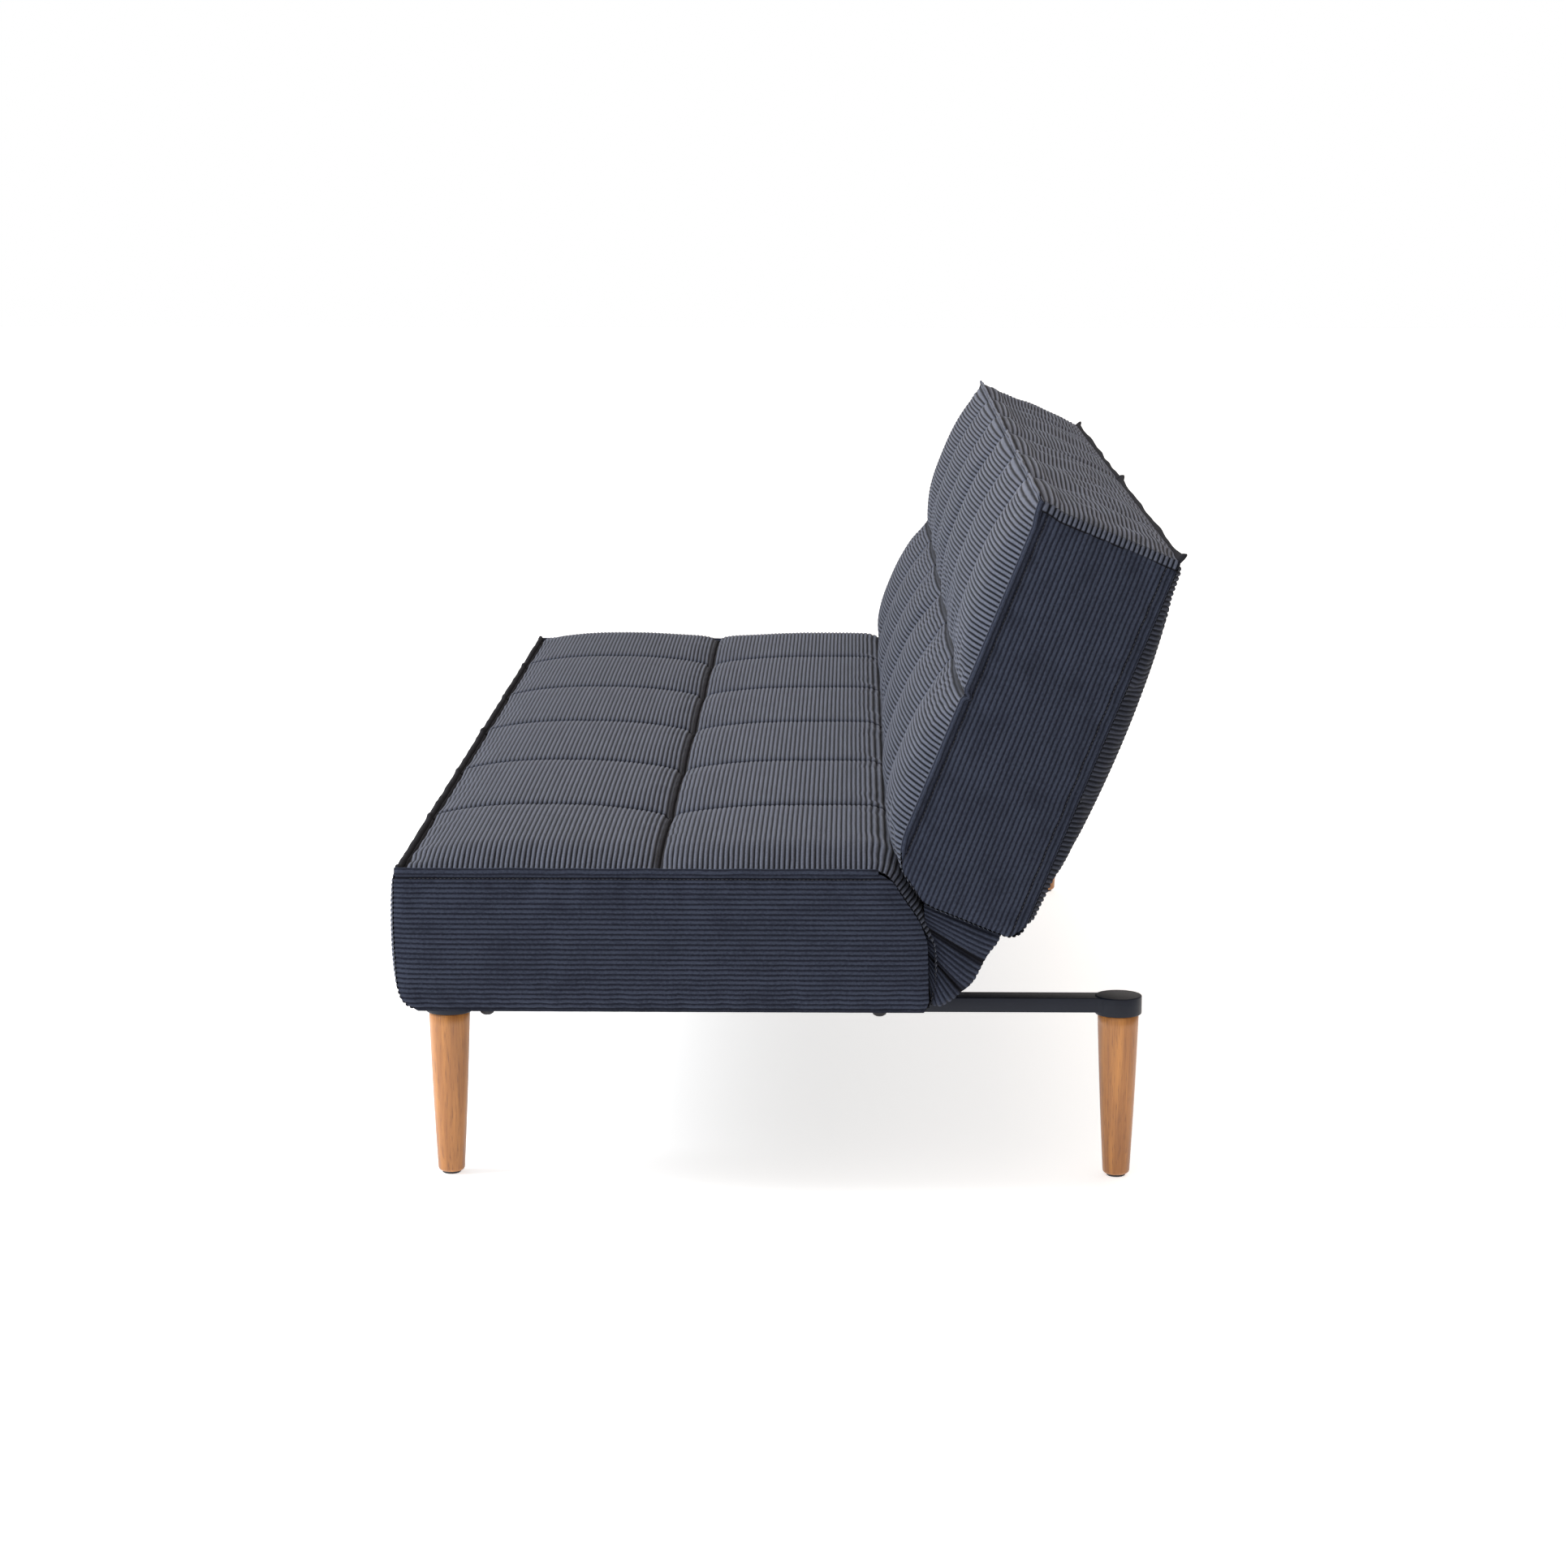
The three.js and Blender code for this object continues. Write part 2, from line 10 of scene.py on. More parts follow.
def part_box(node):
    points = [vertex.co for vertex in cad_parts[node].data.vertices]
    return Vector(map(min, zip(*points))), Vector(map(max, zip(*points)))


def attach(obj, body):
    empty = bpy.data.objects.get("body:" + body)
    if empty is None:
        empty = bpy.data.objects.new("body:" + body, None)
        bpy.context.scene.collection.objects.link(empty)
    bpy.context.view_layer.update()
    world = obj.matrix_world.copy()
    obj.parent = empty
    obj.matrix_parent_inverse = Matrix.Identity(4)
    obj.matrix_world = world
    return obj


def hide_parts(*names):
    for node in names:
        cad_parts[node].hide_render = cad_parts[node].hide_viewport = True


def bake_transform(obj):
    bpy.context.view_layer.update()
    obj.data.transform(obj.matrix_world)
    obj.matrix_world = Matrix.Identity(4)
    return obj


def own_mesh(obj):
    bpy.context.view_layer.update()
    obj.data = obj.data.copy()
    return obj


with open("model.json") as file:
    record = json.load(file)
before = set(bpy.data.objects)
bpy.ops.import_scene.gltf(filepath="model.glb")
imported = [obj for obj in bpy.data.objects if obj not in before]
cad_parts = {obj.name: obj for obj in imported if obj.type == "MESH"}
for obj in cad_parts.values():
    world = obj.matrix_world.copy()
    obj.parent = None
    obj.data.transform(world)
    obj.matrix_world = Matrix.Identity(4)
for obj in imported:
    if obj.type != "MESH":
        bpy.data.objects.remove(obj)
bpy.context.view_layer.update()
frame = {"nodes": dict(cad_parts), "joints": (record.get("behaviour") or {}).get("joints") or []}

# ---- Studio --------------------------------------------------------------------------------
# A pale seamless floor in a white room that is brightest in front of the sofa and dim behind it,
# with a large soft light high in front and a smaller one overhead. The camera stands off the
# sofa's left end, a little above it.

CAMERA_AT = Vector((5.506, 0.082, 1.257))
CAMERA_DOWN = math.radians(9.53)
CAMERA_ASIDE = math.radians(1.05)
CAMERA_LENS = 88.9
FLOOR_REACH = 40.0
LIGHT_SIZE = 2.2
LIT_SPOT = (0, 0, 0.4)

scene = bpy.context.scene
scene.view_settings.view_transform = "Standard"


def linked(name, data):
    made = bpy.data.objects.new(name, data)
    scene.collection.objects.link(made)
    return made


def aimed(thing, place, target):
    thing.location = place
    thing.rotation_euler = (Vector(target) - Vector(place)).to_track_quat("-Z", "Y").to_euler()
    return thing


def soft_light(name, place, watts, colour):
    lamp = bpy.data.lights.new(name, "AREA")
    lamp.shape = "DISK"
    lamp.size = LIGHT_SIZE
    lamp.energy = watts
    lamp.color = colour
    return aimed(linked(name, lamp), place, LIT_SPOT)


camera = bpy.data.cameras.new("camera")
camera.lens = CAMERA_LENS
camera.clip_end = 100
looking = Vector((
    -math.cos(CAMERA_DOWN) * math.cos(CAMERA_ASIDE),
    -math.cos(CAMERA_DOWN) * math.sin(CAMERA_ASIDE),
    -math.sin(CAMERA_DOWN),
))
scene.camera = aimed(linked("camera", camera), CAMERA_AT, CAMERA_AT + looking)

soft_light("front_light", (1.2, -3.6, 3.0), 172, (0.95, 0.975, 1.0))
soft_light("top_light", (0.4, 0.3, 4.0), 58, (1.0, 0.86, 0.72))


# ---- Material nodes ------------------------------------------------------------------------
# Every finish below is a Principled surface. Value wraps one output socket, so sums on it read as
# plain arithmetic, and Finish.node adds any other kind of node.


class Value:
    """An output socket of a finish. Arithmetic on it adds Math nodes."""

    def __init__(self, finish, socket):
        self.finish = finish
        self.socket = socket

    def math(self, operation, *operands):
        inputs = dict(enumerate(operands))
        return self.finish.node("ShaderNodeMath", {"operation": operation}, inputs)

    def __add__(self, other):
        return self.math("ADD", self, other)

    def __sub__(self, other):
        return self.math("SUBTRACT", self, other)

    def __rsub__(self, other):
        return self.math("SUBTRACT", other, self)

    def __mul__(self, other):
        return self.math("MULTIPLY", self, other)

    def __truediv__(self, other):
        return self.math("DIVIDE", self, other)

    def cosine(self):
        return self.math("COSINE", self)

    def clamped(self):
        return self.finish.node("ShaderNodeClamp", {}, {0: self})

    __radd__ = __add__
    __rmul__ = __mul__


class Finish:
    """A material whose surface is Principled, with its even properties given by socket name."""

    def __init__(self, name, **even):
        self.material = bpy.data.materials.new(name)
        self.material.use_nodes = True
        self.tree = self.material.node_tree
        self.surface = self.tree.nodes["Principled BSDF"]
        for socket, value in even.items():
            self.surface.inputs[socket.replace("_", " ")].default_value = value

    def node(self, kind, settings, inputs, output=0):
        made = self.tree.nodes.new(kind)
        for key, value in settings.items():
            setattr(made, key, value)
        for key, value in inputs.items():
            self.feed(made.inputs[key], value)
        return Value(self, made.outputs[output])

    def feed(self, socket, value):
        if isinstance(value, Value):
            self.tree.links.new(value.socket, socket)
        else:
            socket.default_value = value

    def set(self, socket, value):
        self.feed(self.surface.inputs[socket], value)

    def place(self, output="Object"):
        return self.node("ShaderNodeTexCoord", {}, {}, output)

    def scaled(self, vector, scale):
        return self.node("ShaderNodeMapping", {}, {"Vector": vector, "Scale": scale})

    def part(self, vector, axis):
        return self.node("ShaderNodeSeparateXYZ", {}, {0: vector}, axis)

    def grain(self, vector, scale, detail=2.0, rough=0.5, output=0):
        inputs = {"Vector": vector, "Scale": scale, "Detail": detail, "Roughness": rough}
        return self.node("ShaderNodeTexNoise", {}, inputs, output)

    def mix(self, share, first, second):
        colours = [(*c, 1) if isinstance(c, tuple) else c for c in (first, second)]
        inputs = {0: share, 6: colours[0], 7: colours[1]}
        return self.node("ShaderNodeMix", {"data_type": "RGBA"}, inputs, 2)

    def bump(self, height, distance, strength=1.0):
        inputs = {"Height": height, "Distance": distance, "Strength": strength}
        self.set("Normal", self.node("ShaderNodeBump", {}, inputs))


def finished(thing, finish):
    thing.data.materials.clear()
    thing.data.materials.append(finish.material)
    return thing


def dress(prefixes, finish):
    """Gives the finish to every frame node whose name starts with one of the prefixes."""
    for name, node in frame["nodes"].items():
        if name.startswith(prefixes):
            finished(node, finish)


class Room(Finish):
    """The world round the sofa, built from the same nodes as a finish."""

    def __init__(self, name):
        world = bpy.data.worlds.new(name)
        world.use_nodes = True
        self.tree = world.node_tree
        self.surface = self.tree.nodes["Background"]
        scene.world = world


ROOM_FRONT = (0.97, 0.985, 1.0)
ROOM_REAR = (1.0, 0.87, 0.76)
ROOM_WHITE = (1.0, 1.0, 1.0)

room = Room("room")
towards = room.place("Generated")
rearward = room.part(towards, 1)
upward = room.part(towards, 2)
seen = room.node("ShaderNodeLightPath", {}, {}, "Is Camera Ray")
glow = (upward * 0.10 + 0.60 - rearward * 0.50).clamped() + 0.10
wall = room.mix(rearward * 0.5 + 0.5, ROOM_FRONT, ROOM_REAR)
room.set("Color", room.mix(seen, wall, ROOM_WHITE))
room.set("Strength", glow * (1 - seen) + seen)

floor_finish = Finish("studio_floor", Roughness=0.7, Emission_Strength=0.66)
floor_finish.set("Emission Color", (*ROOM_WHITE, 1))
floor_tone = floor_finish.grain(floor_finish.place(), 0.6)
floor_tint = floor_finish.mix(floor_tone, (0.84, 0.84, 0.845), (0.87, 0.87, 0.87))
floor_finish.set("Base Color", floor_tint)
bpy.ops.mesh.primitive_plane_add(size=FLOOR_REACH)
floor = bpy.context.object
floor.name = "floor"
finished(floor, floor_finish)


# ---- Base rails ----------------------------------------------------------------------------
# Each rail is a flat steel bar welded between two round bosses, one over each leg. It is powder
# coated black, which leaves a fine pebbled skin and soft edges.

SIDES = (("left", 1), ("right", -1))
BAR_HALF = 0.017
BAR_BOTTOM = 0.207
BAR_TOP = 0.225
NECK_FILLET = 0.012
EDGE_ROUND = 0.0016
TURN_SIDES = 72


def mesh_object(name, points, faces):
    mesh = bpy.data.meshes.new(name)
    mesh.from_pydata([tuple(p) for p in points], [], faces)
    mesh.validate()
    mesh.update()
    return linked(name, mesh)


def smoothed(thing):
    for polygon in thing.data.polygons:
        polygon.use_smooth = True
    return thing


def settled(thing):
    """Applies the modifiers of a thing, by taking its evaluated mesh."""
    graph = bpy.context.evaluated_depsgraph_get()
    old = thing.data
    thing.data = bpy.data.meshes.new_from_object(thing.evaluated_get(graph))
    thing.modifiers.clear()
    bpy.data.meshes.remove(old)
    return thing


def rounded_edges(thing, width, angle=math.radians(40)):
    bevel = thing.modifiers.new("edges", "BEVEL")
    bevel.width = width
    bevel.segments = 3
    bevel.limit_method = "ANGLE"
    bevel.angle_limit = angle
    return settled(thing)


def turned(name, outline, centre, sides):
    """A solid turned about an upright axis, on which its (radius, height) outline ends."""
    points = [(centre[0], centre[1], outline[0][1])]
    for radius, height in outline[1:-1]:
        for i in range(sides):
            a = 2 * math.pi * i / sides
            at = (centre[0] + radius * math.cos(a), centre[1] + radius * math.sin(a), height)
            points.append(at)
    points.append((centre[0], centre[1], outline[-1][1]))
    faces = []
    for i in range(sides):
        j = (i + 1) % sides
        faces.append((0, 1 + j, 1 + i))
        for ring in range(len(outline) - 3):
            a, b = 1 + ring * sides, 1 + (ring + 1) * sides
            faces.append((a + i, a + j, b + j, b + i))
        last = 1 + (len(outline) - 3) * sides
        faces.append((last + i, last + j, len(points) - 1))
    return mesh_object(name, points, faces)


def rides(piece, body, *stood_for, slot="corduroy"):
    """Puts a piece on its body, in place of the frame nodes that it stands for."""
    if stood_for:
        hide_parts(*stood_for)
    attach(piece, body)
    return piece


def joined(name, pieces):
    bpy.ops.object.select_all(action="DESELECT")
    for piece in pieces:
        piece.select_set(True)
    bpy.context.view_layer.objects.active = pieces[0]
    bpy.ops.object.join()
    pieces[0].name = name
    return pieces[0]


def arc(centre, radius, start, end, steps=10):
    angles = np.linspace(start, end, steps)
    return [(centre[0] + radius * math.cos(a), centre[1] + radius * math.sin(a)) for a in angles]


def bar_outline(x, front, rear, boss):
    out = BAR_HALF + NECK_FILLET
    reach = math.sqrt((boss + NECK_FILLET) ** 2 - out**2)
    turn = math.atan2(reach, out)
    pi = math.pi
    line = [(x, front), *arc((x + out, front + reach), NECK_FILLET, pi + turn, pi)]
    line += arc((x + out, rear - reach), NECK_FILLET, pi, pi - turn)
    line += [(x, rear), *arc((x - out, rear - reach), NECK_FILLET, turn, 0)]
    line += arc((x - out, front + reach), NECK_FILLET, 0, -turn)
    return line


def base_rail(side):
    low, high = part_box(f"base_rail_{side}")
    boss = (high.x - low.x) / 2
    x = (low.x + high.x) / 2
    front, rear = low.y + boss, high.y - boss
    outline = bar_outline(x, front, rear, boss)
    count = len(outline)
    points = [(*p, BAR_BOTTOM) for p in outline] + [(*p, BAR_TOP) for p in outline]
    faces = [tuple(range(count))[::-1], tuple(range(count, 2 * count))]
    faces += [(i, (i + 1) % count, count + (i + 1) % count, count + i) for i in range(count)]
    bar = rounded_edges(mesh_object("bar", points, faces), EDGE_ROUND)
    bosses = []
    for y in (front, rear):
        body = [(0, low.z), (boss, low.z), (boss, high.z), (0, high.z)]
        bosses.append(rounded_edges(turned("boss", body, (x, y), TURN_SIDES), EDGE_ROUND))
    rail = finished(smoothed(joined(f"rail_{side}", [bar, *bosses])), powder_coat)
    rides(rail, "base", f"base_rail_{side}", slot="black_steel")


powder_coat = Finish("black_powder_coat", Coat_Weight=0.03, Coat_Roughness=0.3)
skin = powder_coat.grain(powder_coat.place(), 900, 3)
dust = powder_coat.grain(powder_coat.place(), 14, 4, 0.6)
powder_coat.set("Base Color", powder_coat.mix(dust, (0.004, 0.006, 0.013), (0.011, 0.015, 0.027)))
powder_coat.set("Specular IOR Level", 0.22)
powder_coat.set("Roughness", skin * 0.15 + dust * 0.12 + 0.30)
powder_coat.bump(skin, 0.00025, 0.5)
for side, _ in SIDES:
    base_rail(side)


# ---- Legs ----------------------------------------------------------------------------------
# Four tapered legs, turned from light brown stained beech and lacquered to a satin. The grain
# runs down the leg, with short dark flecks, and each has a rounded foot on a nylon glide.

CORNERS = [(end, side) for side, _ in SIDES for end in ("front", "rear")]
LEG_TOP_RADIUS = 0.025
LEG_FOOT_RADIUS = 0.0165
FOOT_ROUND = 0.005
TOP_ROUND = 0.0012
SWELL = 0.0006


def turned_piece(name, node, outline, sides, finish, slot):
    """A turned piece on the upright axis of the frame node that it stands for."""
    low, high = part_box(node)
    centre = ((low.x + high.x) / 2, (low.y + high.y) / 2)
    piece = finished(smoothed(turned(name, outline, centre, sides)), finish)
    rides(piece, "base", node, slot=slot)


def leg(corner):
    low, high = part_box(f"leg_{corner}")
    outline = [(0, low.z), (LEG_FOOT_RADIUS - FOOT_ROUND, low.z)]
    for a in np.radians((18, 36, 54, 72, 90)):
        r = LEG_FOOT_RADIUS - FOOT_ROUND * (1 - math.sin(a))
        outline.append((r, low.z + FOOT_ROUND * (1 - math.cos(a))))
    start = outline[-1][1]
    for t in np.linspace(0, 1, 16)[1:]:
        swell = SWELL * math.sin(math.pi * t)
        r = LEG_FOOT_RADIUS + (LEG_TOP_RADIUS - LEG_FOOT_RADIUS) * t + swell
        outline.append((r, start + (high.z - TOP_ROUND - start) * t))
    outline += [(LEG_TOP_RADIUS - TOP_ROUND, high.z), (0, high.z)]
    turned_piece(f"turned_leg_{corner}", f"leg_{corner}", outline, TURN_SIDES, beech, "beech")


beech = Finish("stained_beech", Coat_Weight=0.35, Coat_Roughness=0.22)
wood_place = beech.place()
warp = beech.grain(beech.scaled(wood_place, (30, 30, 3)), 1.0, 2, 0.5)
figure = beech.grain(beech.scaled(wood_place, (110, 110, 4)), 1.0, 5, 0.7)
pores = beech.grain(beech.scaled(wood_place, (900, 900, 26)), 1.0, 2, 0.5)
stripe = (beech.part(wood_place, 0) * 700 + warp * 16).cosine() * 0.5 + 0.5
fleck = ((pores - 0.58) * 9).clamped()
light_wood = beech.mix((figure * 2.6 - 0.8).clamped(), (0.25, 0.086, 0.016), (0.54, 0.226, 0.049))
banded = beech.mix(stripe * 0.38, light_wood, (0.295, 0.104, 0.021))
beech.set("Base Color", beech.mix(fleck * 0.7, banded, (0.15, 0.052, 0.016)))
beech.set("Roughness", figure * 0.2 + 0.34)
beech.bump(figure * 0.6 + fleck * -0.5, 0.0003, 0.5)
for end, side in CORNERS:
    leg(f"{end}_{side}")


# ---- Small hardware and inner works ---------------------------------------------------------
# Nylon glides and spacers, zinc-plated studs, rivets and spring wire, blackened button-head bolts
# under the rails, and the welded tube frames and pressed hinge arms. Covers hide most of it.

BOLT_HEAD = [
    (0, -0.0085), (0.0045, -0.0082), (0.0078, -0.0062), (0.0092, -0.0035),
    (0.0095, -0.0016), (0.0125, -0.0014), (0.0128, 0), (0.0028, 0),
]


def mottled(name, spots, dark, light, rough, **even):
    """A finish spotted with two colours. Rough is its roughness on the dark ones and the rise."""
    finish = Finish(name, **even)
    spot = finish.grain(finish.place(), *spots)
    finish.set("Base Color", finish.mix(spot, dark, light))
    finish.set("Roughness", spot * rough[1] + rough[0])
    return finish, spot


def rail_bolt(corner):
    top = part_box(f"rail_bolt_{corner}")[1].z
    seat = BAR_BOTTOM - 0.0003
    outline = [(r, seat + z) for r, z in BOLT_HEAD] + [(BOLT_HEAD[-1][0], top), (0, top)]
    node = f"rail_bolt_{corner}"
    turned_piece(f"button_bolt_{corner}", node, outline, 32, dark_screw, "bare_steel")


nylon, nylon_skin = mottled(
    "black_nylon", (1200, 2), (0.012, 0.012, 0.013), (0.022, 0.022, 0.023), (0.45, 0.2)
)
nylon.bump(nylon_skin, 0.0001, 0.4)
dress(("leg_glide", "rail_spacer"), nylon)
zinc, _ = mottled(
    "zinc_plate", (160, 4, 0.6), (0.34, 0.35, 0.37), (0.52, 0.53, 0.55), (0.25, 0.25), Metallic=1.0
)
dress(("leg_stud", "hinge_rivet", "seat_spring", "back_spring"), zinc)
dark_screw, _ = mottled(
    "blackened_screw", (220, 4, 0.6), (0.012, 0.012, 0.014), (0.05, 0.05, 0.055), (0.3, 0.3),
    Metallic=0.8,
)
for end, side in CORNERS:
    rail_bolt(f"{end}_{side}")
dress(("seat_frame", "back_frame", "hinge_seat_arm", "hinge_back_arm"), powder_coat)


# ---- Corduroy ------------------------------------------------------------------------------
# The covers are a wide-wale cotton corduroy, slate blue-grey. Its wales are rounded cords of cut
# pile, pale on their crowns and painted nearly black between them as painted shade in the grooves,
# and the pile is brushed unevenly by hands.

WALE = 0.0060
WALE_HEIGHT = 0.0019
WALE_STEPS = 4
CLOTH_FRAMES = 20
SEAM_SHADE = (0.003, 0.003, 0.005)


def corduroy_finish(name, crown, valley_shade, mottling, lint, sheen):
    """Its UV map is in metres: U along the wales and V across them. The seam attribute is 1 in a
    seam, where it darkens the colour to SEAM_SHADE as painted shade.
    """
    cloth = Finish(name, Roughness=0.92, Sheen_Weight=sheen, Sheen_Roughness=0.3)
    cloth.set("Sheen Tint", (0.88, 0.91, 1.0, 1))
    cloth.set("Specular IOR Level", 0.15)
    flat = cloth.place("UV")
    wander = cloth.grain(cloth.scaled(flat, (25, 25, 1)), 1.0, 2)
    across = cloth.part(flat, 1) / WALE
    wave = (across * (2 * math.pi) + (wander - 0.5) * 0.9).cosine() * -0.5 + 0.5
    brushed = cloth.grain(cloth.scaled(flat, (14, 34, 1)), 1.0, 5, 0.65)
    tufts = cloth.grain(cloth.scaled(flat, (260, 420, 1)), 1.0, 4, 0.75)
    tuck_and_shade = cloth.node("ShaderNodeAttribute", {"attribute_name": "tuck_and_shade"}, {}, "Fac")
    patchy = (brushed - 0.5) * mottling + 1
    crest = (wave * 1.6 - 0.10).clamped()
    stray = tufts - 0.5
    lit = ((crest + stray * lint) * (stray * 1.3 + 1) * patchy * 0.85).clamped()
    # Painted shade: the valleys between the wales take the nearly black valley colour.
    colour = cloth.mix(lit, valley_shade, crown)
    # Painted shade: the colour darkens towards SEAM_SHADE in and beside the seams.
    cloth.set("Base Color", cloth.mix((tuck_and_shade * 1.7).clamped(), colour, SEAM_SHADE))
    cloth.set("Roughness", 1 - lit * 0.15)
    cloth.bump(wave * 0.8 + tufts * 0.35, 0.0012, 0.55)
    return cloth


CROWN = (0.093, 0.106, 0.146)
VALLEY_SHADE = (0.003, 0.004, 0.007)
SHADED_CROWN = (0.034, 0.042, 0.067)
SHADED_VALLEY = (0.010, 0.012, 0.021)
REAR_SHADED_CROWN = (0.026, 0.031, 0.048)
REAR_SHADED_VALLEY = (0.005, 0.006, 0.010)

# The end panels and gussets take a darker copy of the cloth as painted shade, and the rear panels
# a darker copy still, as deeper painted shade.
corduroy = corduroy_finish("slate_corduroy", CROWN, VALLEY_SHADE, 0.55, 0.2, 0.22)
corduroy_shaded = corduroy_finish("slate_corduroy_painted_shade", SHADED_CROWN, SHADED_VALLEY, 2.2, 2.0, 0.10)
corduroy_rear_shaded = corduroy_finish("slate_corduroy_rear_painted_shade", REAR_SHADED_CROWN, REAR_SHADED_VALLEY, 1.4, 1.0, 0.05)


def rounded_line(corners, bend_steps=7):
    """Points along straight runs between corners (a, b, radius), with each corner rounded."""
    line = []
    for i, (a, b, *radius) in enumerate(corners):
        here = np.array((a, b))
        if not radius:
            line.append(here)
            continue
        ends = []
        for other in (corners[i - 1], corners[i + 1]):
            away = np.array(other[:2]) - here
            ends.append(here + away / np.linalg.norm(away) * radius[0])
        for t in np.linspace(0, 1, bend_steps):
            line.append((1 - t) ** 2 * ends[0] + 2 * t * (1 - t) * here + t**2 * ends[1])
    return np.array(line)


def run_lengths(line):
    steps = np.linalg.norm(np.diff(line, axis=0), axis=1)
    return np.concatenate(([0], np.cumsum(steps)))


def nearest_run(line, place):
    """How far along a line its point nearest to a place is."""
    fine = np.linspace(0, run_lengths(line)[-1], 4000)
    gaps = np.linalg.norm(read_line(line, fine) - np.array(place), axis=1)
    return fine[np.argmin(gaps)]


def read_line(line, at):
    runs = run_lengths(line)
    return np.stack([np.interp(at, runs, line[:, k]) for k in range(line.shape[1])], -1)


def spaced(breaks, step):
    """Places about a step apart that include every break."""
    found = []
    for a, b in zip(breaks[:-1], breaks[1:]):
        found.extend(np.linspace(a, b, max(2, round((b - a) / step) + 1))[:-1])
    return np.array([*found, breaks[-1]])


def stacked(*parts):
    """Points from their parts, each of them a number, a line or a grid."""
    return np.stack(np.broadcast_arrays(*parts), -1)


def grid_mesh(name, points):
    rows, columns = points.shape[:2]
    corner = np.arange(rows * columns).reshape(rows, columns)
    quads = (corner[:-1, :-1], corner[:-1, 1:], corner[1:, 1:], corner[1:, :-1])
    faces = np.stack([q.ravel() for q in quads], -1).tolist()
    return smoothed(mesh_object(name, points.reshape(-1, 3), faces))


def blown(points, cap, sewn=False, pressure=5.0, spare=0.012):
    """The grid of points after cloth, sewn down round its rim and where marked, is blown up.

    The cloth is cut with a little length to spare, so it puckers beside its seams. No point moves
    further than the cap."""
    held = np.zeros(points.shape[:2], bool) | sewn
    held[[0, -1], :] = True
    held[:, [0, -1]] = True
    cloth = grid_mesh("cloth", points)
    group = cloth.vertex_groups.new(name="sewn")
    group.add(np.flatnonzero(held).tolist(), 1.0, "REPLACE")
    modifier = cloth.modifiers.new("cloth", "CLOTH")
    settings = modifier.settings
    settings.quality = 5
    settings.mass = 0.25
    settings.vertex_group_mass = "sewn"
    settings.use_pressure = True
    settings.uniform_pressure_force = pressure
    settings.shrink_min = -spare
    settings.bending_stiffness = 0.4
    settings.effector_weights.gravity = 0
    modifier.point_cache.frame_start = 1
    modifier.point_cache.frame_end = CLOTH_FRAMES
    for number in range(1, CLOTH_FRAMES + 1):
        scene.frame_set(number)
    graph = bpy.context.evaluated_depsgraph_get()
    moved = np.empty(points.size, np.float32)
    cloth.evaluated_get(graph).data.vertices.foreach_get("co", moved)
    bpy.data.objects.remove(cloth)
    scene.frame_set(1)
    shift = moved.reshape(points.shape) - points
    size = np.linalg.norm(shift, axis=-1, keepdims=True)
    limit = np.broadcast_to(cap, points.shape[:2])[..., None]
    eased = limit * np.tanh(size / np.maximum(limit, 1e-9))
    return points + shift * (eased / np.maximum(size, 1e-9))


def between(values, at, creases=()):
    """Values read at places counted in rows, along smooth curves that bend sharply at a crease."""
    last = len(values) - 1
    i = np.clip(np.floor(at + 1e-6).astype(int), 0, last - 1)
    before = np.where(np.isin(i, creases), i, np.maximum(i - 1, 0))
    after = np.where(np.isin(i + 1, creases), i + 1, np.minimum(i + 2, last))

    def shaped(flat):
        return np.asarray(flat).reshape(-1, *[1] * (values.ndim - 1))

    t = shaped(at - i)
    a, b, c, d = values[before], values[i], values[i + 1], values[after]
    slope_b, slope_c = (c - a) / shaped(i + 1 - before), (d - b) / shaped(after - i)
    return (
        (2 * t**3 - 3 * t**2 + 1) * b
        + (t**3 - 2 * t**2 + t) * slope_b
        + (3 * t**2 - 2 * t**3) * c
        + (t**3 - t**2) * slope_c
    )


def finer(points, rows_at, columns_at, row_creases=(), column_creases=()):
    by_rows = between(points, rows_at, row_creases)
    return between(by_rows.swapaxes(0, 1), columns_at, column_creases).swapaxes(0, 1)


def outward(points):
    """The unit normal at each point of a grid."""
    down = np.gradient(points, axis=0)
    across = np.gradient(points, axis=1)
    normal = np.cross(across, down)
    return normal / np.maximum(np.linalg.norm(normal, axis=-1, keepdims=True), 1e-12)


def wale_rows(start, end):
    """Places across the wales, a few to each, that begin and end on the cloth's edges."""
    first, last = math.ceil(start / WALE * WALE_STEPS), math.floor(end / WALE * WALE_STEPS)
    inner = np.arange(first, last + 1) * WALE / WALE_STEPS
    inner = inner[(inner > start + 1e-4) & (inner < end - 1e-4)]
    return np.array([start, *inner, end])


def wale_height(v):
    phase = np.mod(v / WALE, 1.0)
    return WALE_HEIGHT * np.sin(math.pi * phase) ** 0.6


def near_seam(places, seams, width):
    """1 on a seam, falling to 0 a few widths away."""
    found = np.zeros(len(places))
    for seam in seams:
        found = np.maximum(found, np.exp(-(((places - seam) / width) ** 2)))
    return found


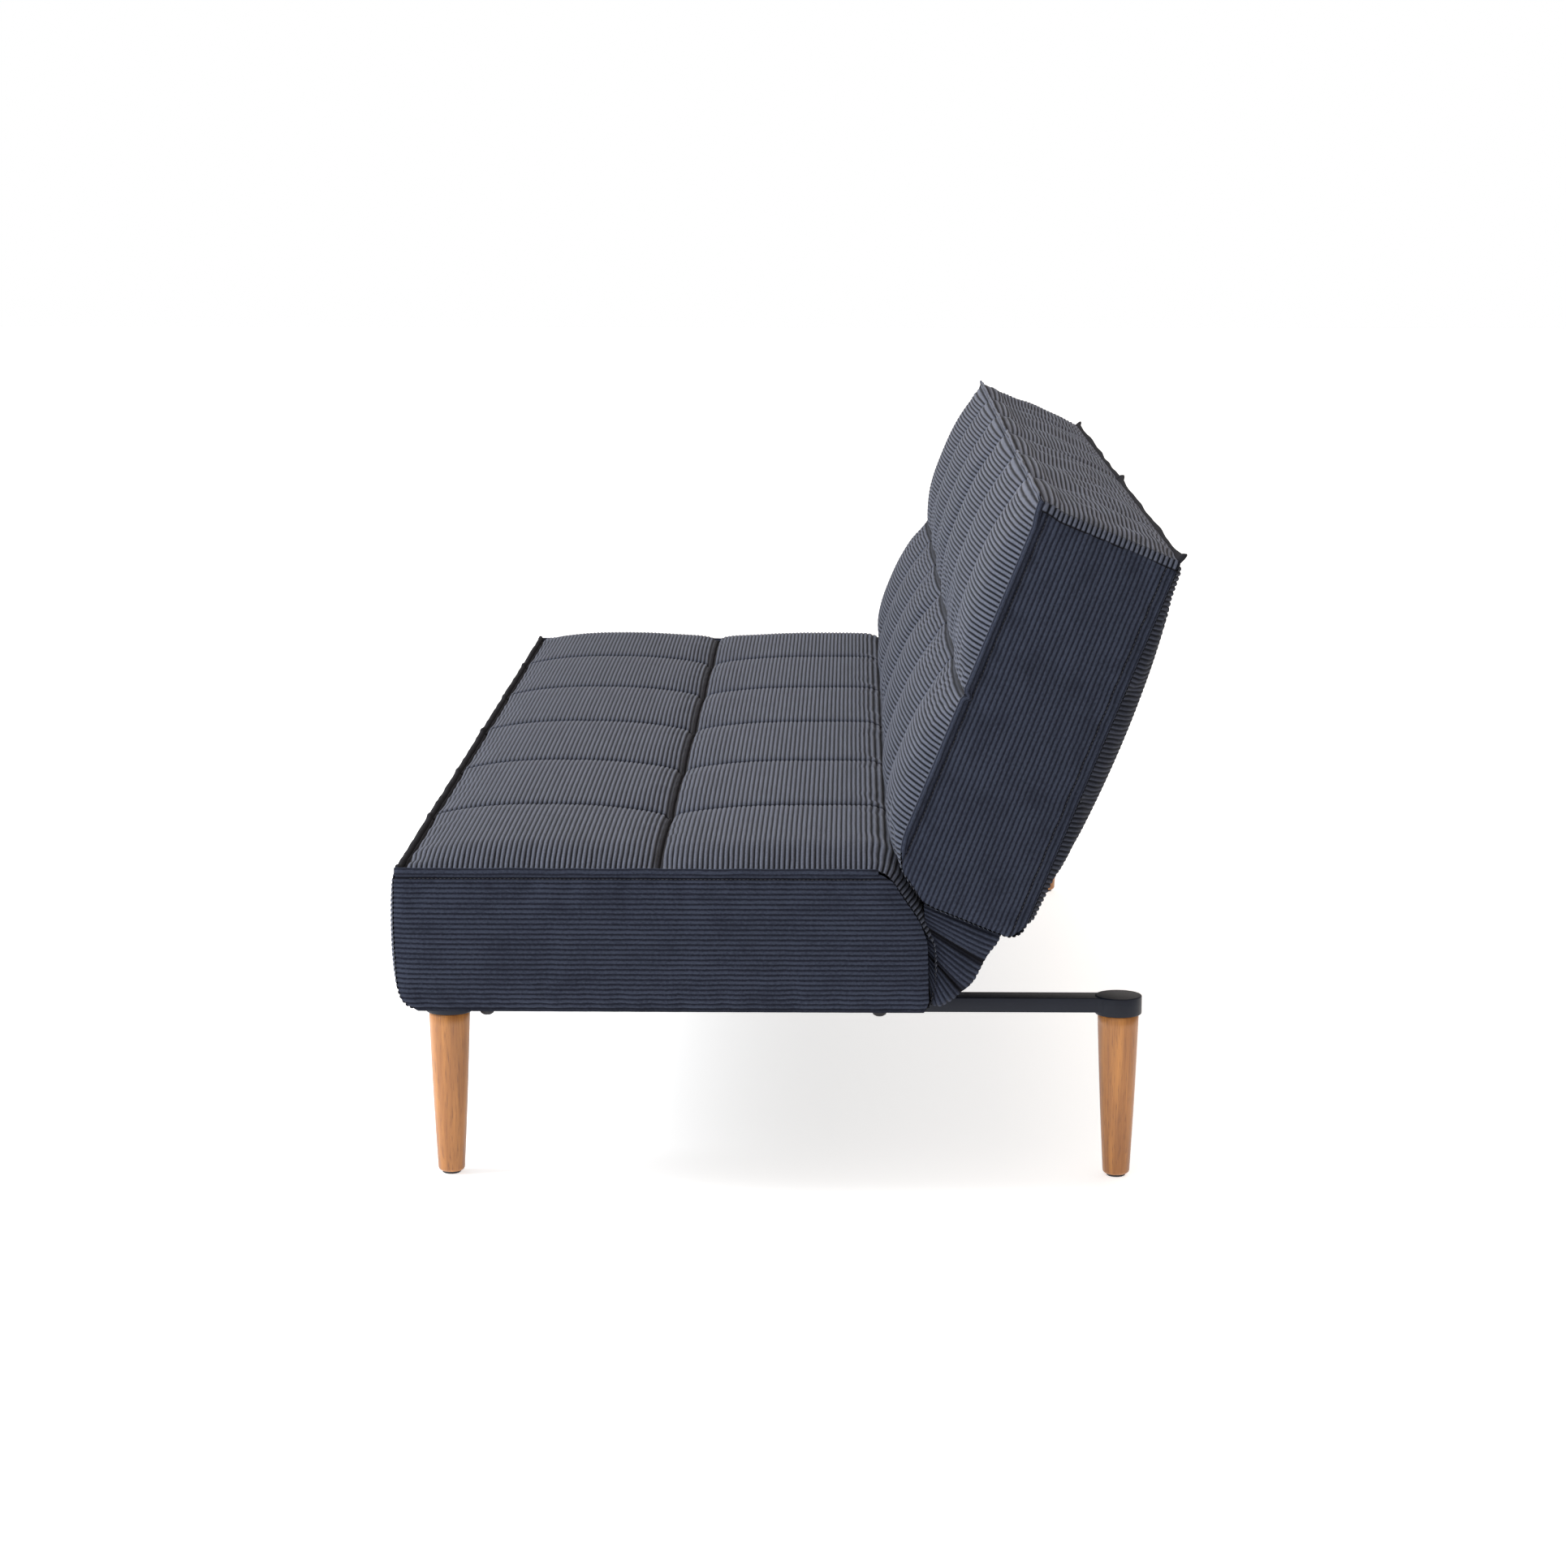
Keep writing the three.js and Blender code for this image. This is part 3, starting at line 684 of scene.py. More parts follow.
def corduroy_sheet(name, points, along, across, tuck_and_shade, finish, raised=1.0):
    """A mesh of corduroy over a grid of points, with its wales raised and its UV map in metres.

    The seam weight lowers the wales, and is kept as an attribute that the finish darkens as
    painted shade.
    """
    tuck_and_shade = np.broadcast_to(tuck_and_shade, points.shape[:2])
    lift = wale_height(across)[:, None, None] * raised * (1 - 0.6 * tuck_and_shade[..., None])
    sheet = grid_mesh(name, points + outward(points) * lift)
    lay_flat(sheet.data, stacked(along[None, :], across[:, None]).reshape(-1, 2))
    tuck_and_shade_layer = sheet.data.attributes.new("tuck_and_shade", "FLOAT", "POINT")
    tuck_and_shade_layer.data.foreach_set("value", tuck_and_shade.ravel().astype(np.float32))
    return finished(sheet, finish)


def lay_flat(mesh, flat):
    """Gives a mesh its UV map, from one place on the flat cloth for each vertex."""
    order = np.empty(len(mesh.loops), np.int32)
    mesh.loops.foreach_get("vertex_index", order)
    mesh.uv_layers.new(name="cut").data.foreach_set("uv", flat[order].astype(np.float32).ravel())


# ---- Seat cover ----------------------------------------------------------------------------
# One quilted cushion over foam: a top in six channels sewn front to back and one cross seam, a
# plain front that rolls under at its foot, a rear, and two end panels. Its long top edge has a
# raised fold, its end panels have a flat stitched band, and the cross seam stands up as a fold.

SEAT_LOW, SEAT_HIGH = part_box("seat_cover")
END_X = SEAT_HIGH.x
SEAT_TOP = SEAT_HIGH.z
CHANNELS = 6
CROSS_SEAM_Y = -0.147
SEAT_EDGE_Y = SEAT_LOW.y + 0.001
SEAT_FOOT = 0.2355
SEAT_CROWN = 0.019
SEAM_DEPTH = 0.0058
SEAM_WIDTH = 0.0034
SHADE_SPREAD = 1.45
FOLD_BACK = 0.009
SEAM_STEPS = (0.0010, 0.0020, 0.0032, 0.005, 0.008, 0.013, 0.021)
ROW_STEP = 0.0125
COLUMN_STEP = 0.0165
OPEN_STEP = 0.024
HINGE_XS = (0.0625, 0.9775)
HINGE_DIP = 0.008
END_WALES = 0.45
END_STEP = 0.012
BAND_WIDTH = 0.0065
TOP_STITCH_DROP = 0.0095

seat_line = rounded_line([
    (SEAT_LOW.y + 0.040, SEAT_FOOT + 0.004),
    (SEAT_LOW.y + 0.006, SEAT_FOOT, 0.030),
    (SEAT_LOW.y - 0.001, 0.325, 0.045),
    (SEAT_EDGE_Y, SEAT_TOP, 0.006),
    (0.120, SEAT_TOP, 0.016),
    (0.160, 0.346, 0.010),
    (SEAT_HIGH.y - 0.002, 0.322, 0.010),
    (SEAT_HIGH.y, SEAT_FOOT + 0.002, 0.008),
    (0.150, SEAT_FOOT + 0.004),
])
seat_runs = run_lengths(seat_line)
edge_run = nearest_run(seat_line, (SEAT_EDGE_Y, SEAT_TOP))
cross_run = nearest_run(seat_line, (CROSS_SEAM_Y, SEAT_TOP))
back_run = nearest_run(seat_line, (0.120, SEAT_TOP))
hip_run = nearest_run(seat_line, (0.164, 0.340))
seat_end_run = seat_runs[-1]
channel_seams = np.linspace(-END_X, END_X, CHANNELS + 1)


def quilted(line, row_breaks, seam_rows, seams, held_runs, height, cap, place, creases=()):
    """Blows up a cover whose rows follow a side line and whose columns run across the sofa.

    It is sewn down on seam_rows and, between the two held_runs, on the seams. Height says how far
    each point stands off the side line, and place turns x and the side line into points. Cap is
    how far the cloth moves: (from run, to run, between them, elsewhere). Returns the grid that
    the wales are raised on, with its row and column places."""
    rows_at = spaced(row_breaks, ROW_STEP)
    columns_at = spaced(seams, COLUMN_STEP)
    side = read_line(line, rows_at)
    grid = place(columns_at[None, :], side[:, :1], side[:, 1:])
    held = (rows_at >= held_runs[0] - 1e-6) & (rows_at <= held_runs[1] + 1e-6)
    on_row = np.isclose(rows_at[:, None], seam_rows).any(1)
    on_column = np.isclose(columns_at[:, None], seams).any(1)
    sewn = on_row[:, None] | (on_column[None, :] & held[:, None])
    grid += outward(grid) * height(rows_at, columns_at, seams)[..., None]
    start, end, inside, outside = cap
    limit = np.where((rows_at > start) & (rows_at < end), inside, outside)[:, None]
    form = blown(grid, limit, sewn)
    rows, columns = wale_rows(0, row_breaks[-1]), column_places(seams)
    fine = finer(
        form,
        to_rows(rows, rows_at),
        to_rows(columns, columns_at),
        rows_of(seam_rows, rows_at),
        rows_of(creases, columns_at),
    )
    return fine, rows, columns


def sewn_in(name, grid, rows, columns, seams, sewn_runs, cross_runs, cross_widths):
    """Draws a cover in along its seams, and makes its sheet, which is shaded beside them.

    The seams are sewn between the two sewn_runs. Cross_widths say how far the pull and the shade
    of the cross_runs reach."""
    within = ((rows > sewn_runs[0]) & (rows < sewn_runs[1])).astype(float)[:, None]

    def beside(width, cross_width):
        channels = near_seam(columns, seams[1:-1], width)[None, :] * within
        return np.maximum(channels, near_seam(rows, cross_runs, cross_width)[:, None])

    pull, shade = cross_widths
    grid = grid - outward(grid) * (SEAM_DEPTH * beside(SEAM_WIDTH, pull))[..., None]
    # Painted shade beside the seams, reaching wider than the pull.
    tuck_and_shade = beside(SEAM_WIDTH * SHADE_SPREAD, shade)
    return grid, corduroy_sheet(name, grid, columns, rows, tuck_and_shade, corduroy)


def share_between(places, low, high):
    return np.clip((places - low) / (high - low), 0, 1)


def arch(share, flatness):
    """0 at both ends and 1 in the middle. A greater flatness gives a broader top."""
    return 1 - np.abs(2 * share - 1) ** flatness


def in_channel(columns, seams):
    """How far each place is across its own channel, from 0 to 1."""
    number = np.clip(np.searchsorted(seams, columns, "right") - 1, 0, len(seams) - 2)
    return (columns - seams[number]) / (seams[number + 1] - seams[number])


def to_rows(places, rows_at):
    return np.interp(places, rows_at, np.arange(len(rows_at)))


def rows_of(seams, rows_at):
    return np.rint(to_rows(seams, rows_at)).astype(int)


def column_places(seams):
    """Places across the sofa that crowd towards each seam."""
    found = []
    for a, b in zip(seams[:-1], seams[1:]):
        found.extend([a, *(a + s for s in SEAM_STEPS[:-1])])
        found.extend(spaced([a + SEAM_STEPS[-1], b - SEAM_STEPS[-1]], OPEN_STEP))
        found.extend(b - s for s in SEAM_STEPS[-2::-1])
    return np.array([*found, seams[-1]])


def seat_height(rows, columns, seams):
    """The top is arched from front to back on each side of the cross seam, pulled down hardest
    where the seams cross, and it comes down to nothing at the end panels. The rear is slack, and
    is drawn in round each hinge."""
    front = arch(share_between(rows, edge_run, cross_run), 2.5)
    rear = arch(share_between(rows, cross_run, hip_run + 0.03), 3.0)
    along = SEAT_CROWN * np.maximum(front, rear)[:, None]
    across = arch(in_channel(columns, seams), 2.5)[None, :]
    near_cross = np.exp(-(((rows - cross_run) / 0.05) ** 2))[:, None]
    on_top = ((rows > edge_run) & (rows < hip_run + 0.03))[:, None]
    ends = np.clip((END_X - np.abs(columns)) / 0.07, 0, 1)[None, :] ** 0.6
    quilt = along * (0.86 + 0.14 * across) + near_cross * 0.011 * across
    rear_bulge = 0.011 * arch(share_between(rows, hip_run + 0.01, seat_end_run - 0.03), 4)[:, None]
    drawn_in = near_seam(np.abs(columns), HINGE_XS, 0.035)[None, :]
    by_hinge = share_between(rows, back_run + 0.010, hip_run)[:, None] * drawn_in
    rear = rear_bulge * (0.7 + 0.3 * ends) * (1 - drawn_in) - HINGE_DIP * by_hinge
    return quilt * ends * on_top + rear


seat_cover, seat_rows, seat_columns = quilted(
    seat_line,
    [0, edge_run, cross_run, back_run, hip_run, seat_end_run],
    [edge_run, cross_run],
    channel_seams,
    (edge_run, hip_run),
    seat_height,
    (edge_run, back_run + 0.02, 0.0030, 0.0055),
    stacked,
    channel_seams,
)
seat_cover, seat_sheet = sewn_in(
    "seat_sheet",
    seat_cover,
    seat_rows,
    seat_columns,
    channel_seams,
    (edge_run, hip_run + 0.02),
    [cross_run, edge_run + FOLD_BACK],
    (SEAM_WIDTH * 1.5, SEAM_WIDTH * 1.1),
)


def row_at(grid, places, at):
    """The line across a grid at one place along its rows."""
    return between(grid, to_rows([at], places))[0]


def read_off(line, key, at):
    """One part of a side line, where its other part, key, has the values at."""
    line = line[np.argsort(line[:, key])]
    return np.interp(at, line[:, key], line[:, 1 - key])


def end_panel(name, edges, reach, deep, place, turned_round, along, stitched):
    """An end panel blown out between two edge lines, and the lines that it is stitched on.

    Edges give where its rows start and end, for places across the wales, which reach from low to
    high. A panel that faces the other way is turned round before it is blown."""
    low, high = reach
    coarse_at = np.linspace(low, high, 15)
    starts, ends = edges(coarse_at)
    columns = max(8, round(float((ends - starts).max()) / END_STEP))
    runs = starts[:, None] + (ends - starts)[:, None] * np.linspace(0, 1, columns)[None, :]
    grid = place(runs, coarse_at[:, None])
    if turned_round:
        grid = grid[:, ::-1]
    form = blown(grid, deep)
    across = wale_rows(low, high)
    fine = finer(form, to_rows(across, coarse_at), np.linspace(0, columns - 1, len(along)))
    edge = np.minimum(across - low, high - across)
    # Painted shade: darker within a few millimetres of the panel's edges and along its stitch
    # lines.
    tuck_and_shade = np.exp(-((edge / 0.004) ** 2)) * 0.36
    tuck_and_shade = np.maximum(tuck_and_shade, near_seam(across, stitched, 0.0012) * 0.5)[:, None]
    panel = corduroy_sheet(name, fine, along, across, tuck_and_shade, corduroy_shaded, END_WALES)
    return panel, [row_at(fine, across, at) for at in stitched]


def seat_end(side, sign):
    """An end panel of the seat, whose wales lie level, and the line of its top stitching."""
    front = seat_line[seat_runs <= edge_run + 0.004]
    rear = seat_line[seat_runs >= back_run - 0.012]
    panel, lines = end_panel(
        f"seat_end_{side}",
        lambda z: (read_off(front, 1, z), read_off(rear, 1, z)),
        (SEAT_FOOT + 0.0004, SEAT_TOP - 0.0004),
        0.008,
        lambda along, across: stacked(sign * END_X, along, across),
        sign < 0,
        np.linspace(SEAT_LOW.y, SEAT_HIGH.y, 90),
        [SEAT_TOP - TOP_STITCH_DROP],
    )
    return panel, lines[0][3:-3]


seat_left, seat_stitch_left = seat_end("left", 1)
seat_right, seat_stitch_right = seat_end("right", -1)
seat_cushion = joined("seat_cushion", [seat_sheet, seat_left, seat_right])
rides(seat_cushion, "base", "seat_cover", "seat_foam")


def welt(name, path, up, height, thick, finish, body):
    """A narrow fold of cloth that stands along a path and leans the way that up says. Height is
    one number, or one for each point of the path."""
    path = np.asarray(path, float)
    along = np.gradient(path, axis=0)
    along /= np.linalg.norm(along, axis=1, keepdims=True)
    across = np.cross(along, np.broadcast_to(up, path.shape))
    across /= np.linalg.norm(across, axis=1, keepdims=True)
    lift = np.cross(across, along)
    tall = np.broadcast_to(height, len(path))[:, None, None]
    profile = np.array([
        (-0.5, -0.35), (-0.54, 0.2), (-0.5, 0.6), (-0.34, 0.9),
        (0, 1), (0.34, 0.9), (0.5, 0.6), (0.54, 0.2), (0.5, -0.35),
    ])
    count = len(profile)
    points = (
        path[:, None]
        + across[:, None] * (profile[None, :, :1] * thick)
        + lift[:, None] * (profile[None, :, 1:] * tall)
    )
    faces = []
    for i in range(len(path) - 1):
        for k in range(count):
            n = (k + 1) % count
            corners = (i * count + k, (i + 1) * count + k, (i + 1) * count + n, i * count + n)
            faces.append(corners)
    faces += [tuple(range(count)), tuple(range((len(path) - 1) * count, len(path) * count))]
    fold = mesh_object(name, points.reshape(-1, 3), faces)
    shell = bmesh.new()
    shell.from_mesh(fold.data)
    bmesh.ops.recalc_face_normals(shell, faces=shell.faces)
    shell.to_mesh(fold.data)
    shell.free()
    u = np.repeat(run_lengths(path), count)
    v = np.tile(run_lengths(profile * (thick, float(np.mean(height)))), len(path))
    lay_flat(fold.data, stacked(u, v))
    rides(finished(smoothed(fold), finish), body)


def uneven(places, size, seed, pitch=0.03):
    """Small deterministic wanderings for the places along a hand-sewn edge."""
    return np.array([size * noise.noise(Vector((p / pitch, seed, 0.5))) for p in places])


binding = Finish("dark_folded_cloth", Roughness=0.95)
binding.set("Specular IOR Level", 0.1)
nap = binding.grain(binding.place(), 700, 3, 0.6)
fold_tone = binding.grain(binding.place(), 45, 3)
fold_colour = binding.mix(fold_tone, (0.014, 0.015, 0.020), (0.032, 0.033, 0.040))
binding.set("Base Color", binding.mix(nap * 0.6, fold_colour, (0.003, 0.003, 0.005)))
binding.bump(nap, 0.0006, 0.6)

nibs = near_seam(seat_columns, channel_seams, 0.012)
welt(
    "seat_front_fold",
    row_at(seat_cover, seat_rows, edge_run) + (0, 0.003, 0),
    (0, -0.10, 1.0),
    0.0062 + 0.0034 * nibs + uneven(seat_columns, 0.0020, 1.0),
    0.0066,
    binding,
    "base",
)
welt(
    "seat_cross_fold",
    row_at(seat_cover, seat_rows, cross_run),
    (0, -0.25, 1),
    0.0068 - 0.003 * nibs + uneven(seat_columns, 0.0010, 2.0),
    0.0042,
    binding,
    "base",
)
for side, sign in SIDES:
    along_edge = spaced([SEAT_EDGE_Y, 0.112], 0.012)
    band_z = SEAT_TOP - BAND_WIDTH * 0.55 + uneven(along_edge, 0.0008, 3.0)
    band_line = stacked(sign * (END_X + 0.0008), along_edge, band_z)
    name = f"seat_end_band_{side}"
    welt(name, band_line, (0, 0, 1), BAND_WIDTH, 0.0042, corduroy_shaded, "base")


# ---- Stitches ------------------------------------------------------------------------------
# Dark polyester thread, sewn by machine in every channel seam and along the flat bands. Each
# stitch is a short thread sunk between two wales, laid along its seam by a small node tree.

SEAM_STITCH = (0.0060, 0.0048, 0.0017)
TOP_STITCH = (0.0050, 0.0034, 0.0008)
SEAM_LIFT = 0.0006
TOP_LIFT = np.array((0.0012, 0, 0))


def laying_tree():
    """A node tree that lays one short rounded bar after another along every edge of a mesh."""
    tree = bpy.data.node_groups.new("laid_bars", "GeometryNodeTree")
    face = tree.interface
    face.new_socket(name="Paths", in_out="INPUT", socket_type="NodeSocketGeometry")
    for name in ("Spacing", "Bar Length", "Bar Thickness"):
        face.new_socket(name=name, in_out="INPUT", socket_type="NodeSocketFloat")
    face.new_socket(name="Finish", in_out="INPUT", socket_type="NodeSocketMaterial")
    face.new_socket(name="Bars", in_out="OUTPUT", socket_type="NodeSocketGeometry")

    def add(kind, settings=(), **links):
        made = tree.nodes.new(kind)
        for key, value in dict(settings).items():
            setattr(made, key, value)
        for key, value in links.items():
            socket = made.inputs[key.replace("_", " ")]
            if isinstance(value, bpy.types.NodeSocket):
                tree.links.new(value, socket)
            else:
                socket.default_value = value
        return made

    given = add("NodeGroupInput").outputs
    curve = add("GeometryNodeMeshToCurve", Mesh=given["Paths"]).outputs[0]
    length = {"mode": "LENGTH"}
    places = add("GeometryNodeResampleCurve", length, Curve=curve, Length=given["Spacing"])
    tangent = add("GeometryNodeInputTangent").outputs[0]
    turn = add("FunctionNodeAlignRotationToVector", {"axis": "X"}, Vector=tangent).outputs[0]
    ball = add("GeometryNodeMeshUVSphere", Segments=6, Rings=4, Radius=0.5).outputs[0]
    size = add(
        "ShaderNodeCombineXYZ",
        X=given["Bar Length"],
        Y=given["Bar Thickness"],
        Z=given["Bar Thickness"],
    ).outputs[0]
    bar = add("GeometryNodeTransform", Geometry=ball, Scale=size).outputs[0]
    spots = places.outputs[0]
    laid = add("GeometryNodeInstanceOnPoints", Points=spots, Instance=bar, Rotation=turn)
    whole = add("GeometryNodeRealizeInstances", Geometry=laid.outputs[0]).outputs[0]
    dressed = add("GeometryNodeSetMaterial", Geometry=whole, Material=given["Finish"]).outputs[0]
    add("NodeGroupOutput", Bars=dressed)
    return tree


laid_bars = laying_tree()


def laid_along(name, paths, sizes, finish, body, slot="corduroy"):
    """Bars of (spacing, length, thickness) along every path, as one plain piece on a body."""
    starts = np.cumsum([0, *(len(path) for path in paths)])
    edges = [(i, i + 1) for a, b in zip(starts[:-1], starts[1:]) for i in range(a, b - 1)]
    mesh = bpy.data.meshes.new(name)
    mesh.from_pydata(np.concatenate(paths).tolist(), edges, [])
    bars = linked(name, mesh)
    modifier = bars.modifiers.new("laid", "NODES")
    modifier.node_group = laid_bars
    sockets = {s.name: s.identifier for s in laid_bars.interface.items_tree}
    for key, value in zip(("Spacing", "Bar Length", "Bar Thickness"), sizes):
        modifier[sockets[key]] = value
    modifier[sockets["Finish"]] = finish.material
    return rides(smoothed(settled(bars)), body, slot=slot)


thread = Finish("dark_thread", Roughness=0.6)
twist = thread.grain(thread.place(), 1500, 2)
thread.set("Base Color", thread.mix(twist, (0.006, 0.007, 0.011), (0.020, 0.021, 0.028)))
thread.bump(twist, 0.0003, 0.5)


def seam_path(grid, row_places, columns, seam, low, high):
    """The line of a channel seam between two places along its rows."""
    column = int(np.argmin(np.abs(columns - seam)))
    kept = (row_places > low) & (row_places < high)
    return (grid[:, column] + outward(grid)[:, column] * SEAM_LIFT)[kept][::3]


seat_paths = [
    seam_path(seat_cover, seat_rows, seat_columns, seam, low, high)
    for seam in channel_seams[1:-1]
    for low, high in ((edge_run + 0.004, cross_run - 0.005), (cross_run + 0.005, back_run - 0.030))
]
laid_along("seat_seam_stitches", seat_paths, SEAM_STITCH, thread, "base")
end_paths = [seat_stitch_left + TOP_LIFT, seat_stitch_right - TOP_LIFT]
laid_along("seat_end_stitches", end_paths, TOP_STITCH, thread, "base")


# ---- Dust cloth ----------------------------------------------------------------------------
# A black spun-bonded cloth, stretched over the underside of the seat frame and stapled through
# the turned-in edges of the cover. It dips a little between the frame's cross tubes.

DUST_Z = 0.2362
DUST_SAG = 0.0035
DUST_INSET = 0.007
STAPLE = (0.045, 0.010, 0.0012)

dust_low = Vector((-END_X + DUST_INSET, SEAT_LOW.y + 0.030, DUST_Z))
dust_high = Vector((END_X - DUST_INSET, SEAT_HIGH.y - DUST_INSET, DUST_Z))
dust_x = np.linspace(dust_low.x, dust_high.x, 121)
dust_y = np.linspace(dust_high.y, dust_low.y, 41)
dip = arch((dust_x - dust_low.x) / (dust_high.x - dust_low.x) * 4 % 1, 2)[None, :]
dip = dip * arch((dust_y - dust_low.y) / (dust_high.y - dust_low.y), 4)[:, None]
dust = stacked(dust_x[None, :], dust_y[:, None], DUST_Z - DUST_SAG * dip)
for i, y in enumerate(dust_y):
    dust[i, :, 2] += uneven(dust_x, 0.0009, y / 0.05, 0.05) * (dip[i] > 0.02)
felt = Finish("black_spunbond", Roughness=0.95)
felt_place = felt.place()
fibres = felt.grain(felt.scaled(felt_place, (700, 260, 700)), 1.0, 4, 0.7)
pressed = felt.node("ShaderNodeTexVoronoi", {}, {"Vector": felt_place, "Scale": 420.0})
felt.set("Base Color", felt.mix(fibres, (0.006, 0.006, 0.007), (0.024, 0.024, 0.026)))
felt.set("Roughness", fibres * 0.2 + 0.78)
felt.bump(pressed * 0.6 + fibres * 0.4, 0.0004, 0.6)
dust_cloth = finished(grid_mesh("dust_cloth", dust), felt)
rides(dust_cloth, "base", "seat_dust_cover", slot="felt")
staple_line = np.array([
    (dust_low.x, dust_low.y), (dust_high.x, dust_low.y), (dust_high.x, dust_high.y),
    (dust_low.x, dust_high.y), (dust_low.x, dust_low.y),
]) * (0.9955, 0.965) + (0, -0.0008)
staple_line = np.concatenate((staple_line, np.full((5, 1), DUST_Z - 0.0004)), 1)
staples = laid_along("dust_cloth_staples", [staple_line], STAPLE, zinc, "base", "bare_steel")


# ---- Back covers ---------------------------------------------------------------------------
# Each half of the back is a cushion of its own: a front and top in one piece, sewn into three
# channels with a cross seam at half height, two end panels, and a slack rear panel. Its outer
# edges are sewn into raised folds.

PIVOT = np.array(frame["joints"][0]["pos_m"])
TILT = math.radians(22)
BACK_RIGHTWARD = np.array((0, math.cos(TILT), -math.sin(TILT)))
BACK_UPWARD = np.array((0, math.sin(TILT), math.cos(TILT)))
FRONT_N = -0.075
REAR_N = 0.097
FOOT_S = 0.031
HEAD_S = 0.515
SPLIT_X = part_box("back_cover_left")[0].x
MIDDLE_S = 0.277
SEAM_STOP = 0.024

back_line = rounded_line([
    (REAR_N, FOOT_S + 0.022),
    (REAR_N - 0.001, FOOT_S, 0.020),
    (FRONT_N + 0.052, FOOT_S, 0.008),
    (FRONT_N + 0.012, FOOT_S + 0.028, 0.008),
    (FRONT_N, FOOT_S + 0.056, 0.018),
    (FRONT_N, HEAD_S, 0.002),
    (REAR_N, HEAD_S - 0.002),
])
brow_run = nearest_run(back_line, (FRONT_N, HEAD_S))
middle_run = nearest_run(back_line, (FRONT_N, MIDDLE_S))
chin_run = nearest_run(back_line, (FRONT_N, FOOT_S + 0.050))
back_end_run = run_lengths(back_line)[-1]


def on_back(x, n, s):
    """Places on the tilted back, from x, how far through its thickness and how far up it."""
    x, n, s = np.broadcast_arrays(x, n, s)
    at = stacked(x, 0, 0) + PIVOT * (0, 1, 1)
    return at + n[..., None] * BACK_RIGHTWARD + s[..., None] * BACK_UPWARD


def back_height(rows, columns, seams):
    """Each channel stands out like a bolster, shallower where a seam crosses it. At the top the
    cloth turns over in a scalloped fold, with a pointed tip at each corner of the half."""
    lower = arch(share_between(rows, chin_run - 0.03, middle_run), 2.4)
    upper = arch(share_between(rows, middle_run, brow_run - 0.006), 2.8)
    along = np.maximum(lower, upper)[:, None]
    across = arch(in_channel(columns, seams), 2.2)[None, :]
    front = ((rows > chin_run - 0.03) & (rows < brow_run))[:, None]
    bolster = (0.010 * along + (0.004 + 0.010 * along) * across) * front
    over = np.exp(-(((rows - brow_run) / 0.013) ** 2))[:, None]
    past_brow = arch(share_between(rows, brow_run - 0.01, back_end_run), 2)
    top = ((rows >= brow_run) * past_brow)[:, None]
    gap = np.minimum(columns - columns[0], columns[-1] - columns)
    tips = np.exp(-((gap / 0.012) ** 2))[None, :]
    sides = np.clip(gap / 0.035, 0, 1)[None, :] ** 0.6
    folds = np.array([
        [noise.noise(Vector((x / 0.07, r / 0.05, seams[0]))) for x in columns] for r in rows
    ])
    creases = 0.005 * folds * share_between(rows, brow_run, brow_run + 0.03)[:, None]
    swell = (bolster + (0.005 * across + creases) * top) * sides
    return swell + over * (0.011 * across * sides + 0.007 * tips)


def back_sheet(side, sign):
    seams = np.sort(np.linspace(SPLIT_X, END_X, 4) * sign)
    cover, rows, columns = quilted(
        back_line,
        [0, chin_run, middle_run, brow_run, back_end_run],
        [middle_run, brow_run],
        seams,
        (chin_run - 0.02, brow_run),
        back_height,
        (chin_run - 0.03, brow_run - 0.004, 0.005, 0.0035),
        on_back,
    )
    cover, sheet = sewn_in(
        f"back_sheet_{side}",
        cover,
        rows,
        columns,
        seams,
        (chin_run - 0.04, brow_run - SEAM_STOP),
        [middle_run],
        (SEAM_WIDTH, SEAM_WIDTH),
    )
    return sheet, cover, rows, columns, seams


def back_end(name, x, facing, deep):
    """An end panel of a back half, whose wales run up it, and the lines of its stitching."""
    foot = back_line[run_lengths(back_line) <= chin_run + 0.01]
    low_n, high_n = FRONT_N + 0.0005, REAR_N - 0.0005
    panel, lines = end_panel(
        name,
        lambda n: (read_off(foot, 0, n), np.full(n.shape, HEAD_S - 0.001)),
        (low_n, high_n),
        deep,
        lambda along, across: on_back(x, across, along),
        facing > 0,
        np.linspace(HEAD_S, FOOT_S, 70),
        [low_n + 0.010, high_n - 0.012],
    )
    return panel, [line[2:-2] for line in lines]


REAR_BULGE = 0.034
REAR_FOOT_S = FOOT_S + 0.018
BRIM_DROP = 0.011
BRIM_OUT = 0.0035


